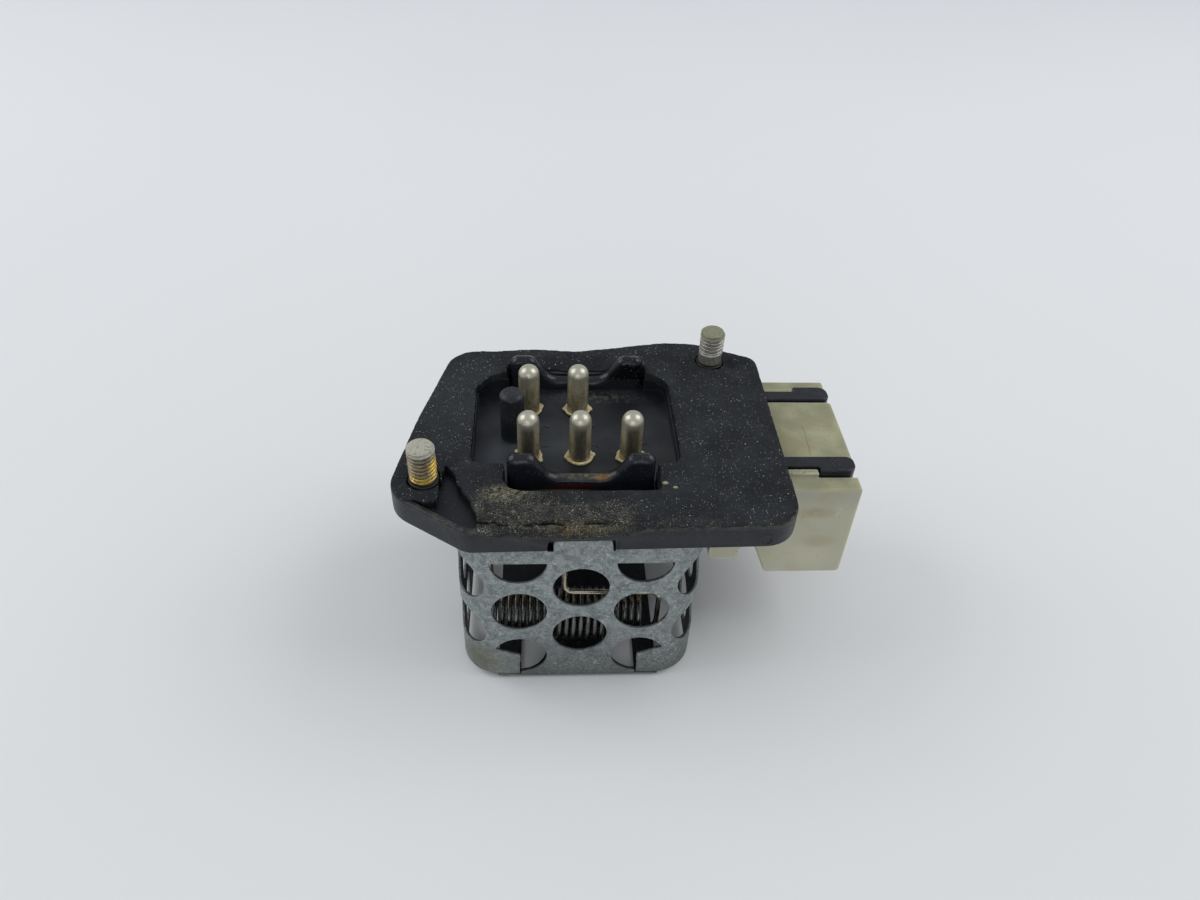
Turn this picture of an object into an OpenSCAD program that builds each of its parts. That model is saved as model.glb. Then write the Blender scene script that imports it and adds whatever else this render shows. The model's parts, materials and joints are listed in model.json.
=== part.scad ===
// Blower motor resistor: a mounting plate with a five-pin socket, a folded
// perforated cage round three wound resistance wires, and a side connector.
// The origin is midway between the two studs, on the sealing face of the gasket.
// +X runs toward the side connector, +Y toward the back edge, +Z out of the socket.

/* [Mounting plate] */
// Height of the plate's outer edge
plate_edge_h = 4.9; // [4.6:0.1:5.4]
// Width of the raised rim round the gasket tray
rim_w = 1.2; // [1:0.1:1.6]
// Height that the gasket stands above the rim
gasket_proud = 0.3; // [0.1:0.1:0.6]
// Thickness of the gasket
gasket_t = 1.8; // [1.4:0.1:2.2]
// Gap between the gasket and the plastic beside it
gasket_gap = 0.25; // [0.15:0.05:0.5]
// Width of the plate along X, from its left corner to its right edge
plate_right = 36.6; // [35.8:0.1:37.6]
// Distance from the origin to the right end of the front edge
plate_front = 29.2; // [29.1:0.1:30]
// Distance that the front edge comes forward toward its left end
plate_slant = 1.1; // [0.4:0.1:1.4]
// Distance from the origin to the high part of the back edge
plate_back = 23.95; // [23.6:0.05:24.2]

/* [Socket] */
// Depth of the socket floor below the sealing face
socket_depth = 4.5; // [4.2:0.1:4.8]
// Distance from the origin to the socket's left wall
socket_left = 19.2; // [18.6:0.1:19.6]
// Distance from the origin to the socket's right wall
socket_right = 17.6; // [17:0.1:18.2]
// Half of the socket's length along Y
socket_half = 13.4; // [13.2:0.1:14]
// Distance from the origin to the front of the pocket before the guide wall
socket_pocket = 20.4; // [20:0.1:21]
// Thickness of the moulded socket floor
floor_t = 2; // [1.6:0.1:2.4]
// Height of the pot under the plate, which the cage slides over
pot_h = 4.4; // [4:0.1:5]

/* [Guide walls] */
// Distance from the origin to the middle of each guide wall
guide_y = 14.7; // [14.5:0.1:15]
// Thickness of a guide wall
guide_t = 2; // [1.6:0.1:2.2]
// Half of a guide wall's length
guide_half = 13; // [12:0.1:13.2]
// Height of the two lobes above the sealing face
guide_top = 2.7; // [2:0.1:3.5]
// Depth of the middle dip below the sealing face
guide_dip = 2.1; // [1.4:0.1:2.6]

/* [Contact pins and keying post] */
// Diameter of a contact pin
pin_d = 4; // [3.6:0.1:4.2]
// Diameter of a pin's shank where it sits in the plate
pin_shank_d = 3.6; // [3.2:0.1:3.8]
// Height of the pins and the keying post above the sealing face
pin_top = 5.9; // [5:0.1:7]
// Spacing of the pins along a row
pin_pitch = 9.35; // [9:0.05:9.6]
// Spacing of the two rows of pins
row_pitch = 14; // [13.6:0.1:14.4]
// Diameter of a pin's tail inside the cage
tail_d = 2.2; // [1.8:0.1:2.6]
// Length of a pin's tail below its boss
tail_l = 5; // [4:0.1:6]
// Diameter of the keying post
key_d = 4.5; // [4:0.1:4.8]
// Distance from the origin to the keying post along X
key_x = 12.3; // [12:0.1:12.8]
// Distance from the origin to the keying post along Y
key_y = 1.1; // [0.8:0.1:1.4]
// Height of a pin collar
collar_h = 0.5; // [0.4:0.1:0.8]
// Outer diameter of a pin collar
collar_d = 5.1; // [4.8:0.1:5.3]
// Width over the two ears of a pin collar
collar_ears = 5.9; // [5.6:0.1:6.2]

/* [Studs] */
// Distance of each stud from the origin along X
stud_x = 27; // [26.6:0.1:27.4]
// Distance of each stud from the origin along Y
stud_y = 17.5; // [17.2:0.1:17.8]
// Diameter of the stud's thread
stud_d = 4.9; // [4.6:0.1:5]
// Diameter of the stud's plain shank in the plate and the gasket
stud_shank_d = 5.3; // [5:0.1:5.6]
// Height of a stud above the sealing face
stud_top = 7.2; // [6:0.1:9]
// Diameter of the stud's head under the plate
stud_head_d = 9; // [8.4:0.1:9.6]
// Thickness of the stud's head
stud_head_t = 1.4; // [1:0.1:1.8]

/* [Cage] */
// Thickness of the folded sheet
sheet_t = 0.6; // [0.5:0.05:0.8]
// Width of the cage along X
cage_w = 44.1; // [43.6:0.1:44.6]
// Distance from the origin to the cage's front face
cage_front = 28.1; // [27.9:0.1:28.3]
// Distance from the origin to the cage's back face
cage_back = 18.7; // [18.4:0.1:18.9]
// Depth of the cage's underside below the sealing face
cage_bottom = 42.6; // [42:0.1:46]
// Radius of the cage's upright corners
corner_r = 7.5; // [7:0.1:8]
// Outer radius of the folds at the front and the back of the bottom
fold_r = 1.1; // [0.9:0.1:1.2]
// Diameter of a hole in the sheet
hole_d = 10; // [9:0.1:10.2]
// Upright spacing of the holes
hole_pitch = 12.7; // [12.4:0.1:12.8]
// Depth of the upper middle hole below the sealing face
hole_z = 16.6; // [16.4:0.1:16.8]
// Half of the width of the strip that folds under as the bottom
strip_half = 11; // [10.8:0.1:11.2]
// Half of the width of the bottom, which is wider than the strip
bottom_half = 15.3; // [14.6:0.1:16]
// Width of the tab that hooks into the plate
tab_w = 9.6; // [9:0.1:9.9]

/* [Resistance wires] */
// Wire diameter of the front coil
front_wire_d = 1; // [0.8:0.05:1.05]
// Wire diameter of the middle coil
middle_wire_d = 1.2; // [1:0.05:1.3]
// Wire diameter of the rear coil
rear_wire_d = 1.4; // [1.2:0.05:1.5]
// Outer diameter of the coils
coil_d = 10.2; // [9.6:0.1:10.4]
// Spacing of the turns of the front coil
front_pitch = 1.34; // [1.3:0.01:1.36]
// Spacing of the turns of the middle coil
middle_pitch = 1.9; // [1.8:0.02:2]
// Spacing of the turns of the rear coil
rear_pitch = 2.7; // [2.6:0.02:2.8]
// Depth of the coils' axes below the sealing face
coil_z = 31.3; // [31:0.1:31.6]

/* [Side connector] */
// Distance from the origin to the housing's outer face
housing_right = 50.8; // [50:0.1:52]
// Distance from the origin to the housing's inner face
housing_left = 33; // [32.8:0.1:34]
// Half of the housing's length along Y
housing_half = 16.4; // [16:0.1:16.8]
// Depth of the housing's mouth below the sealing face
housing_bottom = 26.1; // [25.5:0.1:27]
// Height of the slant at the foot of the housing's inner wall
slant_h = 7.4; // [7:0.1:8]
// Distance that the slant carries the inner wall outward
slant_in = 3; // [2:0.1:4]
// Wall thickness of the housing
housing_wall = 1.9; // [1.6:0.1:2.2]
// Depth of the housing's roof below the sealing face
roof_z = 3.6; // [3.4:0.1:4]
// Thickness of the roof over the mouth
roof_t = 5.4; // [5:0.1:6]
// Distance from the middle line to the inner side of a snap arm
arm_in = 8.6; // [8.4:0.1:8.8]
// Distance from the middle line to the outer side of a hook head
arm_out = 12.7; // [12.4:0.1:13]
// Width of a snap arm's neck
arm_neck = 2.7; // [2.4:0.1:3]
// Length of a hook head
hook_l = 6.8; // [6:0.1:7.4]
// Thickness of a snap arm
arm_t = 3.2; // [2.8:0.1:3.4]
// Gap between a snap arm and the housing round it
arm_gap = 0.25; // [0.15:0.05:0.4]
// Width of a blade terminal
blade_w = 6.3; // [4.8:0.1:6.5]
// Thickness of a blade terminal
blade_t = 0.8; // [0.6:0.05:1]

/* [Hidden] */
$fn = 48;
eps = 0.01;

rim_z = -gasket_proud;
tray_z = -gasket_t;
plate_z = rim_z - plate_edge_h;
socket_z = -socket_depth;
pot_z = plate_z - pot_h;
pot_roof_z = socket_z - floor_t;

pin_r = pin_d / 2;
pin_shank_r = pin_shank_d / 2;
pins = [[-pin_pitch, -row_pitch / 2], [0, -row_pitch / 2], [pin_pitch, -row_pitch / 2],
    [-pin_pitch, row_pitch / 2], [0, row_pitch / 2]];
pin_fit = 0.05;
pin_boss_d = 7;
pin_shoulder_z = socket_z + collar_h + pin_fit;
tail_z = pot_z - tail_l;

studs = [[-stud_x, -stud_y], [stud_x, stud_y]];
stud_r = stud_d / 2;
stud_shank_r = stud_shank_d / 2;
stud_fit = 0.05;

inner_gap = 0.25;
cage_half = cage_w / 2;
cage_mid = (cage_back - cage_front) / 2;
cage_len = cage_back + cage_front;
hole_step = hole_pitch * sin(60);
hole_r = hole_d / 2;
slit = 0.3;

// The plate's outline as corners, each with its own rounding radius
wave_y = plate_back - 3.15;
plate_corners = [
    [-19.4, -plate_front - plate_slant, 4],
    [plate_right, -plate_front, 6],
    [plate_right, 18.4, 3.2],
    [24.6, plate_back, 18],
    [17.6, plate_back, 16],
    [0.2, wave_y, 14],
    [-8.2, wave_y + 0.75, 30],
    [-16.5, wave_y - 0.1, 40],
    [-24.5, wave_y - 0.15, 6.2],
    [-29.66, -0.84, 60],
    [-33.2, -20.75, 6.5]];

function unit(v) = v / norm(v);

// Moves corner i of a ring inward by d, with its radius to suit
function inset_corner(ring, i, d) =
    let (n = len(ring), p = ring[i],
        a = unit([ring[(i + n - 1) % n][0] - p[0], ring[(i + n - 1) % n][1] - p[1]]),
        b = unit([ring[(i + 1) % n][0] - p[0], ring[(i + 1) % n][1] - p[1]]),
        side = a[0] * b[1] - a[1] * b[0] < 0 ? 1 : -1,
        half = acos(a * b) / 2,
        inward = side * unit(a + b))
    [p[0] + inward[0] * d / sin(half), p[1] + inward[1] * d / sin(half), max(p[2] - side * d, 0.2)];

function inset(ring, d) = [for (i = [0:len(ring) - 1]) inset_corner(ring, i, d)];

// Points of a fillet of radius p[2] at corner i of a ring, fewer where it hardly turns
function fillet(ring, i, steps) =
    let (n = len(ring), p = [ring[i][0], ring[i][1]], r = ring[i][2],
        a = unit([ring[(i + n - 1) % n][0], ring[(i + n - 1) % n][1]] - p),
        b = unit([ring[(i + 1) % n][0], ring[(i + 1) % n][1]] - p),
        half = acos(a * b) / 2,
        c = p + unit(a + b) * r / sin(half),
        u = p + a * r / tan(half) - c,
        v = p + b * r / tan(half) - c,
        sweep = 180 - 2 * half,
        n_steps = max(2, min(steps, round(sweep / 4))))
    r < eps ? [p] : [for (k = [0:n_steps])
        c + (u * sin(sweep * (1 - k / n_steps)) + v * sin(sweep * k / n_steps)) / sin(sweep)];

function rounded(ring, steps = 8) = [for (i = [0:len(ring) - 1]) each fillet(ring, i, steps)];

module plate_outline(d = 0) {
    polygon(rounded(inset(plate_corners, d)));
}

// A rectangle from two opposite corners with rounded corners
module slab(x0, y0, x1, y1, r) {
    polygon(rounded([[x0, y0, r], [x1, y0, r], [x1, y1, r], [x0, y1, r]]));
}

module box(x0, y0, z0, x1, y1, z1) {
    translate([x0, y0, z0]) cube([x1 - x0, y1 - y0, z1 - z0]);
}

// Socket opening in plan: the main rectangle and the two pockets of the guide walls
module socket_plan(grow = 0) {
    slab(-socket_left - grow, -socket_half - grow, socket_right + grow, socket_half + grow, 2);
    slab(-guide_half - 0.4 - grow, -socket_pocket - grow,
        guide_half + 0.4 + grow, guide_y + guide_t / 2 + 0.4 + grow, 1.2);
}

// Side view of a guide wall: two rounded lobes and a smooth dip between them
module guide_side() {
    polygon(rounded([
        [-guide_half, socket_z - eps, 0],
        [guide_half, socket_z - eps, 0],
        [guide_half, guide_top, 1.6],
        [guide_half - 4.4, guide_top, 2],
        [5.2, -guide_dip, 3.6],
        [-5.2, -guide_dip, 3.6],
        [-guide_half + 4.4, guide_top, 2],
        [-guide_half, guide_top, 1.6]]));
}

module guide_wall(y) {
    translate([0, y + guide_t / 2, 0]) rotate([90, 0, 0]) linear_extrude(guide_t) guide_side();
}

// Snap arm in plan, on the +Y side: a neck and a wider hook head with a rounded end.
// Grown for the channel in the housing, it runs straight out through the outer face.
module arm_plan(grow = 0) {
    neck_out = arm_in + arm_neck;
    end = grow > 0 ? housing_right + 3 : arm_end;
    polygon(rounded([
        [30, arm_in - grow, 0],
        [end, arm_in - grow, 1.4],
        [end, arm_out + grow, 1.8],
        [hook_x - grow, arm_out + grow, 0.3],
        [hook_x - grow, neck_out + grow, 0.3],
        [30, neck_out + grow, 0]]));
}

arm_end = housing_right - 0.4;
hook_x = arm_end - hook_l;
arm_top = rim_z - 2.7;
arm_z = arm_top - arm_t;

module snap_arm() {
    translate([0, 0, arm_z]) linear_extrude(arm_t) arm_plan();
}

// Shallow pockets on the underside, outboard of the cage
module underside_pockets() {
    pocket_z = plate_z + 1.6;
    difference() {
        translate([0, 0, plate_z - 1]) linear_extrude(pocket_z - plate_z + 1) intersection() {
            plate_outline(1.7);
            union() {
                translate([-50, -50]) square([50 - cage_half - 1.2, 100]);
                translate([cage_half + 1.2, -50]) square([50, 100]);
            }
        }
        for (s = studs) translate([s[0], s[1], plate_z - 2]) cylinder(h = 6, d = stud_head_d + 1.4);
        for (m = [0, 1]) mirror([0, m, 0]) box(28, arm_in - 1, plate_z - 2, 40, arm_out, 0);
    }
}

module base_plate() {
    color([0.17, 0.18, 0.2]) {
        difference() {
            union() {
                difference() {
                    union() {
                        translate([0, 0, plate_z]) linear_extrude(plate_edge_h) plate_outline();
                        translate([0, 0, pot_z]) linear_extrude(plate_z - pot_z + eps) pot_plan(0);
                    }
                    translate([0, 0, tray_z]) linear_extrude(5) plate_outline(rim_w);
                    translate([0, 0, socket_z]) linear_extrude(10) socket_plan();
                    translate([0, 0, pot_z - 1]) linear_extrude(pot_roof_z - pot_z + 1) pot_plan(1.5);
                    underside_pockets();
                }
                for (y = [-guide_y, guide_y]) guide_wall(y);
                for (p = pins) translate([p[0], p[1], pot_z])
                    cylinder(h = pot_roof_z - pot_z + eps, d = pin_boss_d);
                for (m = [0, 1]) mirror([0, m, 0]) snap_arm();
                key_post();
            }
            for (p = pins) translate([p[0], p[1], pot_z - 1]) cylinder(h = 20, r = pin_shank_r + pin_fit);
            for (s = studs) translate([s[0], s[1], plate_z - 1]) cylinder(h = 20, r = stud_shank_r + stud_fit);
            cage_notch(-1);
            cage_notch(1);
        }
        cage_lug(-1);
        cage_lug(1);
    }
}

// Plan of the pot that the cage slides over, w in from its outer face
module pot_plan(w) {
    g = sheet_t + inner_gap + w;
    r = max(corner_r - g, 1);
    slab(-cage_half + g, -cage_front + g, cage_half - g, cage_back - g, r);
}

module key_post() {
    chamfer = 0.6;
    translate([-key_x, -key_y, socket_z - eps]) {
        cylinder(h = pin_top - socket_z - chamfer + eps, d = key_d);
        translate([0, 0, pin_top - socket_z - chamfer + eps])
            cylinder(h = chamfer, d1 = key_d, d2 = key_d - 2 * chamfer);
    }
}

// Notch in the plate's edge where a tab of the cage rises, at the front or the back
notch_gap = 0.2;
notch_top = tray_z - 1;
tab_top = notch_top - 0.3;

function wall_y(side) = side < 0 ? -cage_front : cage_back;

module cage_notch(side) {
    w = tab_w / 2 + notch_gap;
    y = wall_y(side) - side * (sheet_t + notch_gap);
    box(-w, min(y, y + side * 8), plate_z - 1, w, max(y, y + side * 8), notch_top);
}

// Small lug that the slot in the tab snaps over
lug_w = 5.2;
lug_h = 0.7;
lug_z = notch_top - 1.2;

module cage_lug(side) {
    y = wall_y(side) - side * (sheet_t + notch_gap + eps);
    box(-lug_w / 2, min(y, y + side * 1.2), lug_z - lug_h / 2,
        lug_w / 2, max(y, y + side * 1.2), lug_z + lug_h / 2);
}

// Torn notch beside the left stud: an open strip from the rim in toward the socket
module gasket_tear() {
    polygon([[-32, -25], [-28.4, -22.6], [-26.6, -23.4], [-24.4, -22.6], [-24.4, -20.2],
        [-24, -17.2], [-23.5, -14.4], [-22.4, -15.4], [-21.3, -19], [-18.9, -22.7],
        [-18, -25.6], [-17.4, -28], [-17.2, -31]]);
}

module gasket() {
    color([0.13, 0.13, 0.14]) translate([0, 0, tray_z]) linear_extrude(gasket_t) difference() {
        plate_outline(rim_w + gasket_gap);
        socket_plan(gasket_gap);
        for (s = studs) translate(s) circle(r = stud_shank_r + gasket_gap);
        gasket_tear();
    }
}

// Body of the cage in plan, w in from the outer faces
module cage_plan(w) {
    r = corner_r - w;
    slab(-cage_half + w, -cage_front + w, cage_half - w, cage_back - w, r);
}

// The upright walls end in a plain edge a slit above the folds of the bottom
fold_z = -cage_bottom + fold_r;
wall_low = fold_z + slit;
strip_cut_z = -hole_z - 1.5 * hole_pitch - 2;

module cage_walls() {
    translate([0, 0, wall_low]) linear_extrude(plate_z - wall_low) difference() {
        cage_plan(0);
        cage_plan(sheet_t);
    }
}

// Bottom between the two folds. Its front hole belongs to the first column beside the
// middle, carried on round the fold, and is open only within the strip.
bottom_hole_y = -cage_front + fold_r + hole_z + 2.5 * hole_pitch + fold_z
    - (fold_r - sheet_t / 2) * PI / 2;

module cage_bottom_plate() {
    translate([0, 0, -cage_bottom]) linear_extrude(sheet_t) difference() {
        translate([-bottom_half, -cage_front + fold_r])
            square([2 * bottom_half, cage_len - 2 * fold_r]);
        for (m = [0, 1]) mirror([m, 0]) intersection() {
            translate([strip_half, bottom_hole_y]) circle(r = hole_r);
            translate([0, -cage_front]) square([strip_half, cage_len]);
        }
    }
}

// Fold at the front or the back, with the leg of the strip that joins it to the wall
module cage_fold(side) {
    y = wall_y(side);
    leg = strip_half - slit / 2;
    c = [y - side * fold_r, fold_z];
    arc = [for (a = [0:15:90]) [side * cos(a), -sin(a)]];
    translate([-bottom_half, 0, 0]) rotate([90, 0, 90]) linear_extrude(2 * bottom_half)
        polygon(concat([for (v = arc) c + v * fold_r],
            [for (i = [len(arc) - 1:-1:0]) c + arc[i] * (fold_r - sheet_t)]));
    box(-leg, min(y, y - side * sheet_t), fold_z, leg, max(y, y - side * sheet_t), strip_cut_z);
}

// Where a hole column at developed distance s from the front middle meets the sheet:
// [x, y, turn of the outward normal about Z]
flat_x = cage_half - corner_r;
bend_len = (corner_r - sheet_t / 2) * PI / 2;
flat_y = cage_len - 2 * corner_r;

function on_corner(s, cx, cy, start) =
    let (a = start + 90 * s / bend_len)
    [cx + (corner_r - sheet_t) * cos(a), cy + (corner_r - sheet_t) * sin(a), a];

function station(s) =
    s <= flat_x ? [s, -cage_front, -90]
    : s <= flat_x + bend_len ? on_corner(s - flat_x, flat_x, -cage_front + corner_r, -90)
    : s <= flat_x + bend_len + flat_y ? [cage_half, s - flat_x - bend_len + corner_r - cage_front, 0]
    : s <= flat_x + 2 * bend_len + flat_y
        ? on_corner(s - flat_x - bend_len - flat_y, flat_x, cage_back - corner_r, 0)
    : [2 * flat_x + 2 * bend_len + flat_y - s, cage_back, 90];

// One hole through the sheet, drilled along the local normal. Round a corner the drill
// is a little smaller, because the hole was punched in the flat sheet before it was bent.
module sheet_hole(s, z, lower_half = false) {
    at = station(s);
    bent = at[2] % 90 != 0;
    translate([at[0], at[1], z]) rotate([0, 0, at[2]]) difference() {
        translate([bent ? -corner_r : -2, 0, 0]) rotate([0, 90, 0])
            cylinder(h = bent ? 2 * corner_r : 4, r = bent ? hole_r * 0.96 : hole_r);
        if (lower_half) translate([-2 * corner_r, -hole_d, 0]) cube([4 * corner_r, 2 * hole_d, hole_d]);
    }
}

// Even columns hold two whole holes, odd ones a lower half above two whole holes
last_column = floor((flat_x * 2 + 2 * bend_len + flat_y - hole_step / 4) / hole_step);

module hole_column(k) {
    s = k * hole_step;
    if (k % 2 == 0) {
        for (j = [0, 1]) sheet_hole(s, -hole_z - j * hole_pitch);
    } else {
        sheet_hole(s, -hole_z + hole_pitch / 2, true);
        sheet_hole(s, -hole_z - hole_pitch / 2);
        if (k > 1) sheet_hole(s, -hole_z - 1.5 * hole_pitch);
    }
}

// Lowest front hole beside the strip: open but for the corner band's lower quadrant
module strip_hole() {
    z = -hole_z - 1.5 * hole_pitch;
    difference() {
        sheet_hole(strip_half, z);
        translate([strip_half, -cage_front + 3, 0]) rotate([90, 0, 0]) linear_extrude(6)
            polygon([[0, z - hole_d], [hole_d, z - hole_d], [hole_d, z + 2.5], [6, z + 2.5], [0, z]]);
    }
}

// Gap in the front or the back wall that the strip comes down through
module strip_gap(side) {
    y = wall_y(side);
    box(-strip_half - slit / 2, y - 2, wall_low - 1, strip_half + slit / 2, y + 2, strip_cut_z);
}

module cage() {
    color([0.58, 0.62, 0.62]) {
        difference() {
            union() {
                difference() {
                    cage_walls();
                    strip_gap(-1);
                    strip_gap(1);
                }
                cage_fold(-1);
                cage_fold(1);
                cage_bottom_plate();
            }
            for (m = [0, 1]) mirror([m, 0, 0]) {
                for (k = [1:last_column]) hole_column(k);
                strip_hole();
            }
            hole_column(0);
        }
        cage_tab(-1);
        cage_tab(1);
    }
}

module cage_tab(side) {
    y0 = wall_y(side);
    y1 = y0 - side * sheet_t;
    difference() {
        box(-tab_w / 2, min(y0, y1), plate_z - eps, tab_w / 2, max(y0, y1), tab_top);
        box(-lug_w / 2 - 0.15, min(y0, y1) - 1, lug_z - lug_h / 2 - 0.15,
            lug_w / 2 + 0.15, max(y0, y1) + 1, lug_z + lug_h / 2 + 0.15);
    }
}

// Threaded stud: a plain core at thread size, a chamfered top, a thicker shank that ends
// level with the gasket, and a flat round head
module stud(at) {
    chamfer = 0.5;
    translate([at[0], at[1], 0]) {
        translate([0, 0, plate_z - eps])
            cylinder(h = eps - plate_z, r = stud_shank_r);
        cylinder(h = stud_top - chamfer, r = stud_r);
        translate([0, 0, stud_top - chamfer])
            cylinder(h = chamfer, r1 = stud_r, r2 = stud_r - chamfer);
        translate([0, 0, plate_z - stud_head_t]) cylinder(h = stud_head_t, d = stud_head_d);
    }
}

module stud_left() {
    color([0.62, 0.56, 0.36]) stud(studs[0]);
}

module stud_right() {
    color([0.6, 0.6, 0.55]) stud(studs[1]);
}

// Contact pin turned from round bar: domed tip, body with a shoulder over the collar,
// shank in the plate and a thinner tail
module contact_pin(at) {
    color([0.75, 0.73, 0.66]) translate([at[0], at[1], 0]) {
        rotate_extrude() polygon(concat(
            [[0, tail_z], [tail_d / 2, tail_z], [tail_d / 2, pot_z], [pin_shank_r, pot_z],
                [pin_shank_r, pin_shoulder_z], [pin_r, pin_shoulder_z]],
            [for (a = [0:10:90]) [pin_r * cos(a), pin_top - pin_r + pin_r * sin(a)]]));
    }
}

module contact_pin_1() contact_pin(pins[0]);
module contact_pin_2() contact_pin(pins[1]);
module contact_pin_3() contact_pin(pins[2]);
module contact_pin_4() contact_pin(pins[3]);
module contact_pin_5() contact_pin(pins[4]);

// Flat collar with two small ears, lying on the socket floor
module pin_collar(at, turn) {
    color([0.85, 0.8, 0.55]) translate([at[0], at[1], socket_z]) rotate([0, 0, turn])
        linear_extrude(collar_h) difference() {
            union() {
                circle(d = collar_d);
                square([collar_ears, 1], center = true);
            }
            circle(r = pin_shank_r + pin_fit);
        }
}

module pin_collar_1() pin_collar(pins[0], 150);
module pin_collar_2() pin_collar(pins[1], 8);
module pin_collar_3() pin_collar(pins[2], 15);
module pin_collar_4() pin_collar(pins[3], 20);
module pin_collar_5() pin_collar(pins[4], 0);

// Side view of the housing's end walls, slanted below the plate
module housing_side() {
    polygon(rounded([
        [housing_left, -housing_bottom + slant_h, 2],
        [housing_left + slant_in, -housing_bottom, 1],
        [housing_right, -housing_bottom, 1],
        [housing_right, -roof_z, 1],
        [housing_left, -roof_z, 0]]));
}

module connector_housing() {
    outer_top = roof_z + 0.8;
    color([0.82, 0.8, 0.68]) difference() {
        union() {
            translate([0, housing_half, 0]) rotate([90, 0, 0])
                linear_extrude(2 * housing_half) housing_side();
            for (m = [0, 1]) mirror([0, m, 0]) housing_foot();
        }
        // Mouth that faces down
        translate([0, housing_half - housing_wall, 0]) rotate([90, 0, 0])
            linear_extrude(2 * (housing_half - housing_wall)) polygon([
                [housing_left + housing_wall, -roof_z - roof_t],
                [housing_left + housing_wall, -housing_bottom + slant_h],
                [housing_left + slant_in + housing_wall, -housing_bottom - 1],
                [housing_right - housing_wall, -housing_bottom - 1],
                [housing_right - housing_wall, -roof_z - roof_t]]);
        // Clearance to the plate's edge and underside
        box(housing_left - 1, -housing_half - 1, plate_z - 0.1, plate_right + 0.2, housing_half + 1, 1);
        for (m = [0, 1]) mirror([0, m, 0]) {
            // Channel for the snap arm
            translate([0, 0, arm_z - arm_gap]) linear_extrude(10) arm_plan(arm_gap);
            // Lower shoulder outside the arm, with the ramp left standing behind the hook
            difference() {
                box(housing_left - 1, arm_out, -outer_top, housing_right + 1, housing_half + 1, 1);
                housing_ramp();
            }
        }
        for (y = blade_ys) translate([blade_x, y, 0]) blade_slot();
    }
}

// Ramp that rides over the hook head and rests behind its shoulder
module housing_ramp() {
    outer_top = roof_z + 0.8;
    translate([0, arm_out + 0.2, 0]) rotate([90, 0, 0]) linear_extrude(arm_out - arm_in - arm_neck)
        polygon([[plate_right, -outer_top - 1], [hook_x - arm_gap, -outer_top - 1],
            [hook_x - arm_gap, -roof_z], [plate_right, -outer_top]]);
}

// Foot that reaches from the housing back under the plate
module housing_foot() {
    foot_t = 2.6;
    translate([0, housing_half - 0.2, 0]) rotate([90, 0, 0]) linear_extrude(foot_t)
        polygon(rounded([
            [24.6, -22.4, 1.4], [30.4, -22.4, 1.4], [30.4, -19.4, 0.8],
            [housing_left + 2.4, -17.4, 0], [housing_left + 2.4, -12, 0], [24.6, -12, 1.4]]));
}

// Flat blade terminals hang from the roof into the mouth
blade_x = (housing_left + slant_in + housing_right) / 2;
blade_ys = [-6.6, 6.6];
blade_top = arm_z - arm_gap - 0.6;
blade_l = 15;

module blade_slot() {
    box(-blade_t / 2 - 0.03, -blade_w / 2 - 0.03, -roof_z - roof_t - 1,
        blade_t / 2 + 0.03, blade_w / 2 + 0.03, blade_top);
}

module blade(y) {
    color([0.72, 0.66, 0.45]) translate([blade_x - blade_t / 2, y, 0]) rotate([90, 0, 90])
        linear_extrude(blade_t) polygon([
            [-blade_w / 2, blade_top], [-blade_w / 2, blade_top - blade_l + 1.2],
            [-blade_w / 2 + 1.2, blade_top - blade_l], [blade_w / 2 - 1.2, blade_top - blade_l],
            [blade_w / 2, blade_top - blade_l + 1.2], [blade_w / 2, blade_top]]);
}

module connector_blade_1() blade(blade_ys[0]);
module connector_blade_2() blade(blade_ys[1]);

// Helix about an axis along X from angle 0 at [x0, y, z], turning down toward the front
function helix(x0, y, z, r, pitch, turns, per_turn = 12) =
    [for (i = [0:turns * per_turn]) let (a = -360 * i / per_turn)
        [x0 + pitch * i / per_turn, y + r * cos(a), z + r * sin(a)]];

// Rounds each inner corner of a 3-D route by cutting it back by d
function eased(route, d, steps = 3) = [for (i = [0:len(route) - 1]) each
    i == 0 || i == len(route) - 1 ? [route[i]]
    : let (p = route[i], a = route[i - 1] - p, b = route[i + 1] - p,
        da = min(d, norm(a) * 0.45), db = min(d, norm(b) * 0.45),
        u = p + unit(a) * da, v = p + unit(b) * db)
    [for (k = [0:steps]) let (t = k / steps) u * (1 - t) * (1 - t) + 2 * p * t * (1 - t) + v * t * t]];

function tangent(route, i) =
    unit(route[min(i + 1, len(route) - 1)] - route[max(i - 1, 0)]);

function side_of(v, t) = unit(v - t * (v * t));

// A round wire along a route, with a ring that is carried along without twist
module wire(route, d, sides = 6) {
    n = len(route);
    tangents = [for (i = [0:n - 1]) tangent(route, i)];
    normals = [for (i = 0, u = side_of([0.31, 0.87, 0.38], tangents[0]); i < n;
        i = i + 1, u = side_of(u, tangents[min(i, n - 1)])) u];
    points = [for (i = [0:n - 1]) for (k = [0:sides - 1])
        let (a = 360 * k / sides, u = normals[i], v = cross(tangents[i], u))
        route[i] + d / 2 * (cos(a) * u + sin(a) * v)];
    faces = concat(
        [[for (k = [0:sides - 1]) k]],
        [for (i = [0:n - 2]) for (k = [0:sides - 1])
            let (a = i * sides + k, b = i * sides + (k + 1) % sides)
            [a, a + sides, b + sides, b]],
        [[for (k = [sides - 1:-1:0]) (n - 1) * sides + k]]);
    polyhedron(points, faces);
}

// A coil's leads end beside the tails of two contact pins
function lead_side(p, d, side) = [p[0] + side * (tail_d / 2 + d / 2 + 0.1), p[1]];
lead_top = pot_z - 0.4;
lead_low = tail_z + 0.6;

coil_front_y = -cage_front + sheet_t + 0.9 + coil_d / 2;
coil_middle_y = 0;
coil_rear_y = coil_middle_y + coil_d + 1.4;

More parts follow.
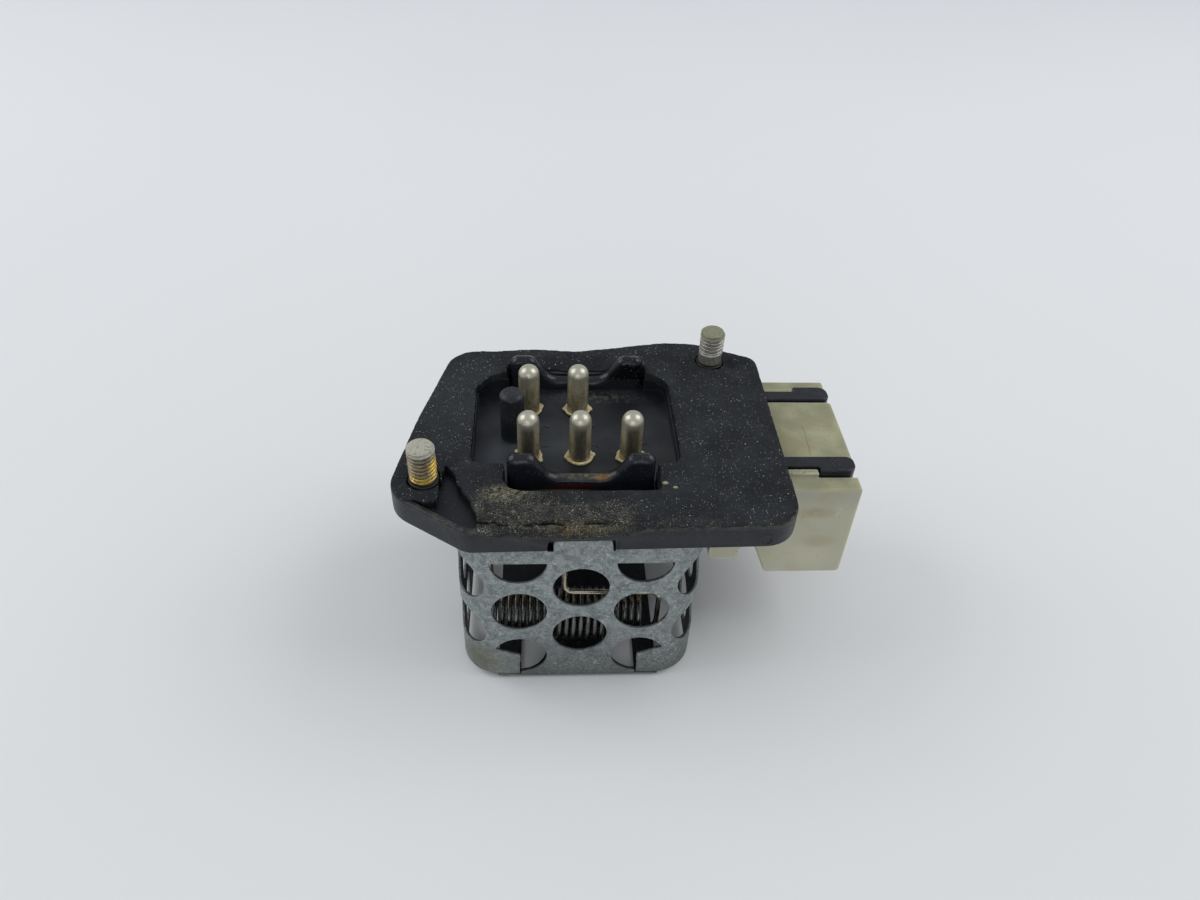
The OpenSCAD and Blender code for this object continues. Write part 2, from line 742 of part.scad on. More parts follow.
module coil_front() {
    r = (coil_d - front_wire_d) / 2;
    x0 = -15.2;
    turns = 20.25;
    x1 = x0 + front_pitch * turns;
    y = coil_front_y;
    z = -coil_z;
    over_z = z + coil_d / 2 + front_wire_d / 2 + 0.5;
    a = lead_side(pins[0], front_wire_d, -1);
    b = lead_side(pins[1], front_wire_d, -1);
    start = [[a[0], a[1], lead_top], [a[0], a[1], lead_low - 1], [x0, y + r, lead_low - 4],
        [x0, y + r, z + 2]];
    finish = [[x1 + 0.8, y - 0.9, z - r], [x1 + 3.1, y - 0.5, z - r + 1.4],
        [x1 + 3.1, y - 0.3, over_z], [-2.8, y - 0.5, over_z + 0.6],
        [-2.8, y, lead_low - 2.4], [b[0], b[1], lead_low - 1], [b[0], b[1], lead_top]];
    color([0.5, 0.48, 0.44]) wire(concat(eased(start, 1.4),
        helix(x0, y, z, r, front_pitch, turns), eased(finish, 1.2)), front_wire_d);
}

module coil_middle() {
    r = (coil_d - middle_wire_d) / 2;
    x0 = -11.8;
    turns = 12.5;
    x1 = x0 + middle_pitch * turns;
    y = coil_middle_y;
    z = -coil_z;
    a = lead_side(pins[3], middle_wire_d, -1);
    b = lead_side(pins[2], middle_wire_d, 1);
    start = [[a[0], a[1], lead_top], [a[0], a[1], lead_low - 1], [x0, y + r, lead_low - 3.5],
        [x0, y + r, z + 2]];
    finish = [[x1, y - r, z + 2], [x1, y - r, lead_low - 3.5],
        [b[0], b[1], lead_low - 1], [b[0], b[1], lead_top]];
    color([0.42, 0.41, 0.4]) wire(concat(eased(start, 1.6),
        helix(x0, y, z, r, middle_pitch, turns), eased(finish, 1.6)), middle_wire_d);
}

module coil_rear() {
    r = (coil_d - rear_wire_d) / 2;
    x0 = -9;
    turns = 7.5;
    x1 = x0 + rear_pitch * turns;
    y = coil_rear_y;
    z = -coil_z;
    a = lead_side(pins[3], rear_wire_d, 1);
    b = lead_side(pins[4], rear_wire_d, 1);
    start = [[a[0], a[1], lead_top], [a[0], a[1], lead_low - 1], [x0, y + r, lead_low - 5],
        [x0, y + r, z + 2]];
    finish = [[x1, y - r, z + 2], [x1, y - r, lead_low - 6],
        [b[0], b[1], lead_low - 1], [b[0], b[1], lead_top]];
    color([0.45, 0.44, 0.42]) wire(concat(eased(start, 1.6),
        helix(x0, y, z, r, rear_pitch, turns), eased(finish, 1.6)), rear_wire_d);
}

base_plate();
gasket();
cage();
stud_left();
stud_right();
contact_pin_1();
contact_pin_2();
contact_pin_3();
contact_pin_4();
contact_pin_5();
pin_collar_1();
pin_collar_2();
pin_collar_3();
pin_collar_4();
pin_collar_5();
connector_housing();
connector_blade_1();
connector_blade_2();
coil_front();
coil_middle();
coil_rear();
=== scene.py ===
"""Blower motor resistor, dressed for rendering.

A moulded plate with a five-pin socket and a foam gasket, a perforated zinc-plated cage
round three wound resistance wires, two threaded studs and a nylon side connector.
Sizes are in millimetres and are turned into metres where a mesh is made.
"""

import enum
import itertools
import json
import logging
import math
from dataclasses import dataclass
from typing import Callable, Sequence

import bmesh
import bpy
import numpy as np
from mathutils import Matrix, Quaternion, Vector

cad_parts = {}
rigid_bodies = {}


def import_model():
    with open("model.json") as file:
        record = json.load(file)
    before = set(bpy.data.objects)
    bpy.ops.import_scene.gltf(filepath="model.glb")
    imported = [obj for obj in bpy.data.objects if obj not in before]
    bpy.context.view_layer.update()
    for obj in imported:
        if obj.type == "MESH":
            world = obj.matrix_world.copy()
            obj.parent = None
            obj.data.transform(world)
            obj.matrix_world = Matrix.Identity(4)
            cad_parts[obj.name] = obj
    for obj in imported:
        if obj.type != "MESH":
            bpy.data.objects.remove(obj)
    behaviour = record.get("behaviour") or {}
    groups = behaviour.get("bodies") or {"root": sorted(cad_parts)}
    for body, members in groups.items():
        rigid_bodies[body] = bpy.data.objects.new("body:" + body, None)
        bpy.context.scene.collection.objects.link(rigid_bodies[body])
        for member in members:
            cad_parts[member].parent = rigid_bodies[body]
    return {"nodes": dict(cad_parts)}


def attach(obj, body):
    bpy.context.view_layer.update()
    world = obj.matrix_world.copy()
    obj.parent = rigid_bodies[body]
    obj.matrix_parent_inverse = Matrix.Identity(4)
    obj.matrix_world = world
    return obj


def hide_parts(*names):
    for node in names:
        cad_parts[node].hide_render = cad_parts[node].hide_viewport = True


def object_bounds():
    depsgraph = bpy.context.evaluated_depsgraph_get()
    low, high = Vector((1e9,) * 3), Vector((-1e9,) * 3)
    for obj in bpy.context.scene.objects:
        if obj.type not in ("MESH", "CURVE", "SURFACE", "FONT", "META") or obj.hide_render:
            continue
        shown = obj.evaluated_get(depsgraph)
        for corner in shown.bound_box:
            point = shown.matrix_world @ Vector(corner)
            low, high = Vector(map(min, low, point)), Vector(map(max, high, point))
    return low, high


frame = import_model()
CAD_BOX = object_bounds()

log = logging.getLogger("resistor")
MM = 0.001
ROOT = "root"
RIM_Z = -0.3
TRAY_Z = -1.8
SOCKET_Z = -4.5
UNDERSIDE_Z = -5.2
FLOOR_Z = -42.6
GUIDE_Y = 14.7
GUIDE_HALF = 13.06
STUDS = ((-27, -17.5), (27, 17.5))
STUD_TOP_Z = 7.2
PINS = ((-9.35, -7), (0, -7), (9.35, -7), (-9.35, 7), (0, 7))
PIN_TOP_Z = 5.9
HOUSING_Y = 16.4
COIL_D = 10.2
COIL_Z = -31.3
FLAT = math.radians(0.5)
BENT = math.radians(26)


# ---------------------------------------------------------------- node graphs

class Graph:
    """One material's node graph, with coordinates in millimetres."""

    def __init__(self, name: str) -> None:
        """Start a material that holds one Principled shader."""
        self.material = bpy.data.materials.new(name)
        self.material.use_nodes = True
        self.tree = self.material.node_tree
        self.shader = self.tree.nodes["Principled BSDF"]
        self.at = self.mapped(self.node("TexCoord", "Object"), scale=(1 / MM,) * 3)

    def node(self, kind: str, output: str | int, inputs: dict | None = None, **settings):
        """Add a shader node, fill its inputs by name or number, and give one of its outputs."""
        made = self.tree.nodes.new("ShaderNode" + kind)
        for key, value in settings.items():
            setattr(made, key, value)
        for key, value in (inputs or {}).items():
            self.join(value, made.inputs[key])
        return made.outputs[output]

    def join(self, value, socket) -> None:
        """Link an output to an input, or set the input where the value is a number or colour."""
        if isinstance(value, bpy.types.NodeSocket):
            self.tree.links.new(value, socket)
        elif socket.type == "RGBA":
            socket.default_value = (*value, 1.0)
        else:
            socket.default_value = value

    def mapped(self, at, place=(0, 0, 0), scale=(1, 1, 1)):
        """Coordinates scaled and then moved."""
        return self.node("Mapping", "Vector", {"Vector": at, "Location": place, "Scale": scale})

    def noise(self, per_mm: float, detail: float = 3.0, rough: float = 0.55, at=None,
              warp: float = 0.0):
        """Fractal noise with this many features to a millimetre."""
        return self.node("TexNoise", "Fac", {
            "Vector": at or self.at, "Scale": per_mm, "Detail": detail, "Roughness": rough,
            "Distortion": warp})

    def patches(self, per_mm: float, detail: float, rough: float, low: float, high: float,
                warp: float = 0.0):
        """Noise eased into patches: zero below low, one above high."""
        return self.ease(self.noise(per_mm, detail, rough, warp=warp), low, high)

    def math(self, operation: str, a, b=0.0):
        """A Math node of two values."""
        return self.node("Math", 0, {0: a, 1: b}, operation=operation)

    def size(self, value):
        """The value without its sign."""
        return self.math("ABSOLUTE", value)

    def product(self, *factors):
        """All the factors multiplied together."""
        total = factors[0]
        for factor in factors[1:]:
            total = self.math("MULTIPLY", total, factor)
        return total

    def most(self, *values):
        """The largest of the values."""
        top = values[0]
        for value in values[1:]:
            top = self.math("MAXIMUM", top, value)
        return top

    def ease(self, value, low: float, high: float):
        """Zero below low, one above high, and a smooth step between; high may be the lower."""
        return self.node("MapRange", "Result", {
            "Value": value, "From Min": low, "From Max": high}, interpolation_type="SMOOTHSTEP")

    def near(self, value, middle: float, far: float, close: float):
        """One where the value is within close of the middle, and zero past far."""
        return self.ease(self.size(self.math("SUBTRACT", value, middle)), far, close)

    def span(self, value, low, high):
        """The value's range 0 to 1 stretched to low to high."""
        return self.node("MapRange", "Result", {"Value": value, "To Min": low, "To Max": high})

    def axis(self, name: str):
        """One coordinate in millimetres."""
        return self.node("SeparateXYZ", name, {0: self.at})

    def facing(self, name: str):
        """One component of the surface's own direction."""
        return self.node("SeparateXYZ", name, {0: self.node("NewGeometry", "Normal")})

    def vector(self, operation: str, a, b=(0, 0, 0), output: str = "Vector"):
        """A Vector Math node of two vectors."""
        return self.node("VectorMath", output, {0: a, 1: b}, operation=operation)

    def spot(self, centre: Sequence[float], reach: Sequence[float], hard: float = 0.0):
        """One at the middle of an ellipsoid and zero at its rim."""
        near = self.mapped(self.at, tuple(-c / r for c, r in zip(centre, reach)),
                           tuple(1 / r for r in reach))
        return self.ease(self.vector("LENGTH", near, output="Value"), 1.0, hard)

    def shell_depth(self, middle: Sequence[float], half: Sequence[float], radius: float):
        """Distance outward from a rounded upright box's wall: the length of what stands past its
        inner square, less the corner radius; negative inside."""
        moved = self.mapped(self.at, (-middle[0], -middle[1], 0), (1, 1, 0))
        past = self.vector("SUBTRACT", self.vector("ABSOLUTE", moved),
                           (half[0] - radius, half[1] - radius, 0))
        length = self.vector("LENGTH", self.vector("MAXIMUM", past), output="Value")
        return self.math("SUBTRACT", length, radius)

    def blend(self, factor, a, b):
        """Colour a where the factor is zero and b where it is one."""
        return self.node("Mix", "Result", {"Factor": factor, "A": a, "B": b},
                         data_type="RGBA", clamp_factor=True)

    def coats(self, colour, *coats: tuple):
        """Coats laid over a colour in order, each given as its mask, its share and its colour."""
        for mask, share, over in coats:
            colour = self.blend(self.product(mask, share), colour, over)
        return colour

    def grains(self, per_mm: float, size: float, share: float, channel: str = "Red"):
        """Round grains: cells whose random number is over 1 - share, up to this radius."""
        distance = self.node("TexVoronoi", "Distance", {"Vector": self.at, "Scale": per_mm})
        tint = self.node("SeparateColor", channel, {0: distance.node.outputs["Color"]})
        chosen = self.math("GREATER_THAN", tint, 1.0 - share)
        return self.product(self.ease(distance, size, size * 0.6), chosen)

    def bump(self, height, depth_mm: float, strength: float = 1.0, over=None):
        """A normal whose height of one stands this many millimetres proud, over another normal."""
        inputs = {"Height": height, "Distance": depth_mm * MM, "Strength": strength}
        return self.node("Bump", "Normal", inputs | ({"Normal": over} if over else {}))

    def soft_edges(self, radius_mm: float):
        """A normal that rounds the edges of a sharp mesh by this radius."""
        return self.node("Bevel", "Normal", {"Radius": radius_mm * MM}, samples=6)

    def edge_wear(self, radius_mm: float):
        """One along sharp edges, where a rounded normal leaves the true one; the finishes paint
        highlights there.
        """
        true = self.node("NewGeometry", "Normal")
        dot = self.vector("DOT_PRODUCT", self.soft_edges(radius_mm), true, "Value")
        return self.ease(dot, 0.97, 0.8)

    def finish(self, **sockets) -> bpy.types.Material:
        """Set the shader's inputs by name, with _ for a space, and give the material."""
        for key, value in sockets.items():
            self.join(value, self.shader.inputs[key.replace("_", " ")])
        return self.material


# ---------------------------------------------------------------- finishes

@dataclass(frozen=True)
class MouldedPlastic:
    """Black glass-filled plastic, dull on its faces and glossy on the guide walls, with painted
    reflections and highlights, and painted shade in its recesses.
    """

    name: str = "moulded_black_plastic"
    base: tuple = (0.006, 0.008, 0.012)
    haze: tuple = (0.019, 0.022, 0.026)
    dust: tuple = (0.17, 0.155, 0.115)

    def material(self) -> bpy.types.Material:
        """Build the node material."""
        g = Graph(self.name)
        x, y, z = g.axis("X"), g.axis("Y"), g.axis("Z")
        wide, deep = g.size(x), g.size(y)
        floor_haze = g.most(g.spot((-13, -7, SOCKET_Z), (8, 8, 1.2), 0.2),
                            g.product(g.spot((-3, -5, SOCKET_Z), (9, 6, 1.2)), 0.7))
        # The guide walls: a painted reflection lightens their colour, and they are glossier.
        walls = g.product(g.near(deep, GUIDE_Y, 1.9, 1.5), g.ease(z, -4.3, -3.9),
                          g.ease(wide, 13.6, 13.1))
        # Painted shade on the tray floor, in the hollow of the torn foam.
        tray = g.product(g.near(z, TRAY_Z, 0.25, 0.1), g.ease(g.facing("Z"), 0.6, 0.9))
        # Painted shade on the socket's inner rim and wall.
        inner_rim_shade = g.product(g.ease(z, -1.9, -1.6), g.ease(deep, 14.2, 13.6),
                              g.ease(wide, 19.9, 19.5), g.ease(x, -12, 14))
        # Painted shade in the notch beside the cage's tab.
        notch = g.product(g.ease(y, -27.2, -27.35), g.ease(wide, 6.1, 6.0),
                          g.ease(z, -2.75, -2.9), g.ease(y, -30.2, -30.05))
        patchy = g.span(g.patches(0.9, 4, 0.7, 0.35, 0.65), 0.15, 1)
        # Painted reflections on the front guide wall: a sheen on its saddle, an amber glint on its
        # slope, and red and gold lines low on its face.
        sheen = g.product(g.spot((0.2, -14.8, -2.0), (6.0, 1.7, 0.9)), patchy)
        amber_glint = g.product(g.spot((3.6, -15.2, -2.1), (2.3, 1.4, 1.0)), patchy)
        red_reflection = g.spot((-1.5, -15.8, -3.5), (7.0, 1.2, 0.7), 0.3)
        gold_reflection = g.spot((-3, -15.9, -4.35), (7.0, 1.0, 0.3), 0.3)
        dirt = g.product(g.ease(z, -1.3, -0.35), g.ease(y, -20.0, -28.4),
                         g.patches(0.5, 4, 0.7, 0.36, 0.62))
        specks = g.most(g.grains(2.6, 0.3, 0.2), g.product(g.grains(1.2, 0.2, 0.1, "Green"), 0.8))
        floor_dust = g.product(g.spot((4, 11, SOCKET_Z), (14, 3.2, 2)),
                               g.patches(1.3, 5, 0.75, 0.42, 0.7))
        colour = g.coats(
            self.base,
            (g.patches(0.16, 4, 0.6, 0.35, 0.75), 1, self.haze),
            (g.spot((6, 6, SOCKET_Z), (11, 8, 1.2), 0.3), 0.9, (0.003, 0.004, 0.006)),
            (floor_haze, 0.9, (0.05, 0.058, 0.068)),
            (walls, 1, (0.011, 0.013, 0.018)),
            (tray, 0.85, (0.004, 0.005, 0.009)),
            (inner_rim_shade, 1, (0.002, 0.0025, 0.004)),
            (notch, 1, (0.001, 0.001, 0.0015)),
            (sheen, 1, (0.16, 0.15, 0.105)),
            (amber_glint, 1, (0.26, 0.14, 0.04)),
            (red_reflection, 0.75, (0.07, 0.012, 0.012)),
            (gold_reflection, 0.8, (0.2, 0.13, 0.04)),
            (dirt, 0.75, (0.07, 0.063, 0.045)),
            (g.product(specks, g.ease(z, -5.3, -0.8)), 0.5, self.dust),
            (floor_dust, 0.7, (0.12, 0.118, 0.088)),
            # Painted highlight along the edges.
            (g.edge_wear(0.35), 0.22, (0.13, 0.14, 0.145)))
        glossy = g.most(walls, g.product(g.ease(x, 37.4, 37.6), 0.8))
        rough = g.span(glossy, g.span(g.noise(0.9, 4, 0.6), 0.3, 0.5), 0.15)
        grain = g.math("ADD", g.noise(5.0, 3), g.product(dirt, g.noise(3.0, 5, 0.8), 5.0))
        return g.finish(Base_Color=colour, Roughness=rough, Specular_IOR_Level=0.33,
                        Normal=g.bump(grain, 0.05, 0.35))


@dataclass(frozen=True)
class DustyFoam:
    """Dark closed-cell foam with pale grains, sandy dirt along the front, and painted shade on its
    sunken side faces.
    """

    name: str = "dusty_foam"
    base: tuple = (0.0075, 0.0095, 0.013)
    worn: tuple = (0.018, 0.021, 0.025)

    def heavy(self, g: Graph):
        """Where dirt lies thick: a heap on the left, a band and the front edge, all ragged."""
        x, y = g.axis("X"), g.axis("Y")
        heavy = g.most(g.spot((-11.5, -24.2, 0), (9.5, 5.4, 4), 0.45),
                       g.product(g.spot((2, -26, 0), (13, 4.4, 4), 0.3), 0.75),
                       g.product(g.ease(y, -26.6, -28.2), g.ease(x, 16, 2), 0.85),
                       g.product(g.ease(y, -26.2, -28.6), 0.3))
        ragged = g.product(g.math("SUBTRACT", g.noise(0.45, 5, 0.75), 0.5), 1.8,
                           g.ease(heavy, 0.02, 0.2))
        clean = g.spot((0, -22.6, 0), (5.6, 2.2, 4), 0.5)
        return g.product(g.ease(g.math("ADD", heavy, ragged), 0.22, 0.8), g.span(clean, 1, 0.15))

    def material(self) -> bpy.types.Material:
        """Build the node material."""
        g = Graph(self.name)
        x, y, z = g.axis("X"), g.axis("Y"), g.axis("Z")
        heavy = self.heavy(g)
        sand = g.blend(g.noise(0.3, 3), (0.11, 0.105, 0.076), (0.045, 0.043, 0.032))
        lots = g.span(g.patches(0.38, 4, 0.7, 0.4, 0.62), 0.2, 1)
        sandy = g.product(heavy, g.patches(1.1, 5, 0.85, 0.34, 0.66, warp=0.4), lots)
        yellow = g.product(g.spot((-13.2, -21.4, 0), (5.5, 3.0, 4), 0.3),
                           g.patches(1.6, 4, 0.8, 0.44, 0.58))
        olive = g.product(g.spot((-1, -29.4, -0.5), (9, 1.8, 2.5), 0.3),
                          g.patches(0.9, 3, 0.55, 0.36, 0.56))
        rust = g.product(g.spot((-2.4, -29.5, -0.3), (2.2, 1.0, 2), 0.2),
                         g.patches(1.8, 3, 0.55, 0.42, 0.56))
        strewn = g.patches(0.22, 3, 0.7, 0.36, 0.6)
        pale = g.most(g.product(g.grains(1.7, 0.19, 0.22), g.span(strewn, 0.35, 1)),
                      g.product(g.grains(3.4, 0.28, 0.3, "Green"), g.span(strewn, 0.12, 0.7)))
        grit = g.product(heavy, g.patches(3.6, 3, 0.95, 0.52, 0.62), lots)
        more = g.product(heavy, g.span(lots, 0.25, 1),
                         g.most(g.grains(4.4, 0.38, 0.24, "Blue"),
                                g.product(g.patches(6.0, 2, 0.9, 0.6, 0.68), 0.8)))
        tint = g.blend(g.patches(1.5, 1, 0.55, 0.4, 0.6), (0.85, 0.85, 0.8), (0.28, 0.26, 0.17))
        crumbs = g.most(g.spot((14.27, -19.0, 0.3), (0.75, 0.55, 1), 0.4),
                        g.spot((15.9, -20.1, 0.3), (0.6, 0.45, 1), 0.4))
        # Painted shade: the foam's side faces below its top are darkened, less at the front lip and
        # not at the back.
        lip = g.ease(g.math("SUBTRACT", y, g.product(x, 0.0196)), -29.25, -29.6)
        deep = g.product(g.ease(z, -0.2, -0.65), g.span(lip, 1.0, 0.25), g.ease(y, 13, 11))
        colour = g.coats(
            self.base,
            (g.patches(0.13, 5, 0.62, 0.36, 0.68), 1, self.worn),
            (g.spot((-22, 4, 0), (16, 20, 6)), 0.5, (0.03, 0.034, 0.037)),
            (g.patches(2.4, 4, 0.8, 0.56, 0.72), 0.35, (0.06, 0.06, 0.054)),
            (sandy, 0.9, sand),
            (yellow, 0.8, (0.27, 0.25, 0.15)),
            (olive, 0.85, (0.115, 0.1, 0.042)),
            (rust, 0.7, (0.16, 0.06, 0.022)),
            (grit, 0.9, (0.23, 0.22, 0.165)),
            (g.most(pale, more), 0.85, tint),
            (crumbs, 0.8, (0.4, 0.37, 0.24)),
            (g.product(heavy, g.patches(2.3, 4, 0.85, 0.49, 0.4)), 0.9, (0.006,) * 3),
            (deep, 0.92, (0.0035, 0.004, 0.005)))
        height = g.math("ADD", g.noise(3.2, 5, 0.75), g.product(heavy, g.noise(2.2, 6, 0.85), 3.0))
        height = g.math("ADD", height, g.product(pale, 0.8))
        return g.finish(Base_Color=colour, Roughness=0.82, Specular_IOR_Level=0.28,
                        Normal=g.bump(height, 0.2, 0.8))


@dataclass(frozen=True)
class ZincSheet:
    """Zinc-plated sheet: mottled grey with white bloom and an olive lower left corner, with painted
    shade low down and on its inner faces, and painted highlights on its edges.
    """

    name: str = "zinc_plated_sheet"

    def material(self) -> bpy.types.Material:
        """Build the node material."""
        g = Graph(self.name)
        z = g.axis("Z")
        mottle = g.noise(0.8, 6, 0.75, warp=0.3)
        fine = g.noise(3.5, 4, 0.7)
        bloom = g.product(g.patches(1.4, 6, 0.9, 0.54, 0.62, warp=0.8), 0.8)
        frost = g.product(g.patches(1.7, 5, 0.92, 0.535, 0.585, warp=0.6),
                          g.most(g.spot((13, -28, -36), (12, 5, 9), 0.3),
                                 g.spot((1, -28, -39), (12, 4, 4), 0.3)))
        olive = g.most(g.spot((-19, -27, -38), (9, 8, 8)), g.product(g.ease(z, -36.5, -42.0), 0.55))
        # Painted shade: darker towards the bottom, except on the left.
        low = g.product(g.ease(z, -24.0, -39.0), g.ease(g.axis("X"), -16, -8))
        # Painted shade on the cage's inner faces and on the upward faces of its bottom fold.
        depth = g.shell_depth((0, -4.7), (22.05, 23.4), 7.5)
        inner = g.most(g.product(g.ease(depth, -0.3, -0.5), g.ease(z, -41.6, -41.3)),
                       g.product(g.ease(g.facing("Z"), 0.5, 0.8), g.ease(z, -41.4, -41.8)))
        colour = g.coats(
            (0.135, 0.158, 0.159),
            (g.ease(mottle, 0.36, 0.64), 1, (0.312, 0.343, 0.341)),
            (g.ease(fine, 0.45, 0.75), 0.5, (0.4, 0.43, 0.42)),
            (bloom, 1, (0.56, 0.59, 0.58)),
            (frost, 1, (0.8, 0.84, 0.85)),
            (olive, 0.85, (0.15, 0.147, 0.105)),
            (g.grains(1.4, 0.17, 0.1), 0.7, (0.05, 0.05, 0.045)),
            # Painted highlight along the punched edges.
            (g.edge_wear(0.25), 0.25, (0.5, 0.52, 0.5)),
            (low, 0.55, (0.075, 0.083, 0.085)),
            (inner, 0.93, (0.009, 0.011, 0.015)))
        height = g.math("ADD", fine, g.product(bloom, 1.5))
        return g.finish(Base_Color=colour, Metallic=g.span(g.ease(bloom, 0.1, 0.6), 0.7, 0.2),
                        Roughness=g.span(mottle, 0.36, 0.66),
                        Normal=g.bump(height, 0.025, 0.5, g.soft_edges(0.12)))


class StudPlating(enum.Enum):
    """The two platings that the studs have, as (flank, tint, top) colours."""

    YELLOW = ((0.21, 0.18, 0.13), (0.68, 0.46, 0.07), (0.41, 0.4, 0.33))
    GREY = ((0.4, 0.4, 0.36), (0.25, 0.22, 0.16), (0.24, 0.235, 0.155))


@dataclass(frozen=True)
class PlatedThread:
    """Worn plating on a stud: tinted low down, dull and grey on top, with a painted highlight on
    its lit side and painted shade under its crests and at its foot.
    """

    plating: StudPlating
    tint_share: float
    centre: tuple

    def material(self) -> bpy.types.Material:
        """Build the node material."""
        g = Graph(f"plating_{self.plating.name.lower()}")
        flank, tint, top = self.plating.value
        (x, y), z, top_z = self.centre, g.axis("Z"), STUD_TOP_Z
        patch = g.patches(1.1, 4, 0.7, 0.62 - self.tint_share * 0.4, 0.68 - self.tint_share * 0.25)
        # Painted highlight: the tint gathers on the lit side of the thread and near its foot.
        highlight_side = g.most(g.spot((x + 2.2, y - 0.8, 3.6), (1.9, 2.4, 3.2), 0.3),
                             g.spot((x, y - 1.2, 1.0), (3.4, 3, 1.1), 0.3))
        tinted = g.product(patch, g.ease(z, top_z - 1.4, top_z - 3.6), g.span(highlight_side, 0.12, 1))
        dull = g.most(g.ease(z, top_z - 1.6, top_z - 0.7),
                      g.product(g.patches(1.6, 4, 0.8, 0.5, 0.7), 0.7))
        # Painted shade under the thread's crests.
        under = g.product(g.ease(g.facing("Z"), -0.05, -0.45), g.ease(z, top_z - 1.0, top_z - 1.4))
        colour = g.coats(
            flank,
            (tinted, 1, tint),
            (dull, 1, top),
            (g.patches(2.6, 4, 0.8, 0.5, 0.66), 0.75, (0.07, 0.06, 0.045)),
            (under, 0.75, (0.05, 0.035, 0.015)),
            # Painted shade at the stud's foot, where it enters the foam's hole.
            (g.ease(z, 0.5, 0.1), 1, (0.02, 0.019, 0.016)))
        return g.finish(Base_Color=colour, Metallic=g.span(dull, 0.7, 0.15),
                        Roughness=g.span(dull, 0.34, 0.66),
                        Normal=g.bump(g.noise(4.0, 5, 0.8), 0.06, 0.5))


@dataclass(frozen=True)
class TarnishedPin:
    """Tinned pin: bright domed tip, yellow-brown streaks and dark specks below, and a painted dark
    reflection on the front pins' forward side.
    """

    name: str = "tinned_pin"

    def material(self) -> bpy.types.Material:
        """Build the node material."""
        g = Graph(self.name)
        z = g.axis("Z")
        bright = g.ease(z, PIN_TOP_Z - 3.2, PIN_TOP_Z - 1.6)
        streaks = g.noise(1.2, 4, 0.7, at=g.mapped(g.at, scale=(1, 1, 0.22)))
        brown = g.product(g.patches(0.5, 5, 0.75, 0.4, 0.62), g.ease(z, 4.6, -2.0))
        pits = g.most(g.grains(3.2, 0.32, 0.3), g.patches(2.6, 5, 0.85, 0.58, 0.66))
        # Painted reflection: a dark band on the forward-facing side of the front pins.
        near = g.product(g.ease(g.facing("Y"), -0.72, -0.96), g.ease(z, 4.4, 2.6),
                         g.ease(g.axis("Y"), 3, -3), g.span(g.ease(streaks, 0.3, 0.6), 0.55, 0.9))
        colour = g.coats(
            (0.5, 0.45, 0.3),
            (g.ease(streaks, 0.35, 0.65), 1, (0.66, 0.62, 0.48)),
            (brown, 0.85, (0.4, 0.29, 0.1)),
            (bright, 1, (0.5, 0.48, 0.39)),
            (g.product(pits, g.span(bright, 0.8, 0.25)), 1, (0.07, 0.055, 0.04)),
            (near, 1, (0.1, 0.09, 0.07)))
        rough = g.math("ADD", g.span(streaks, 0.22, 0.42), g.product(pits, 0.3))
        return g.finish(Base_Color=colour, Metallic=0.72, Roughness=rough,
                        Normal=g.bump(g.noise(2.2, 5, 0.75), 0.05, 0.4))


@dataclass(frozen=True)
class PaleCollar:
    """Pale yellow collar, crusted white in places."""

    name: str = "pale_collar"

    def material(self) -> bpy.types.Material:
        """Build the node material."""
        g = Graph(self.name)
        crust = g.noise(1.4, 5, 0.8)
        colour = g.coats((0.5, 0.38, 0.16),
                         (g.ease(crust, 0.4, 0.62), 1, (0.72, 0.66, 0.46)),
                         (g.patches(2.8, 4, 0.8, 0.6, 0.72), 1, (0.12, 0.09, 0.04)))
        return g.finish(Base_Color=colour, Metallic=0.15, Roughness=0.5,
                        Normal=g.bump(crust, 0.15, 0.6))


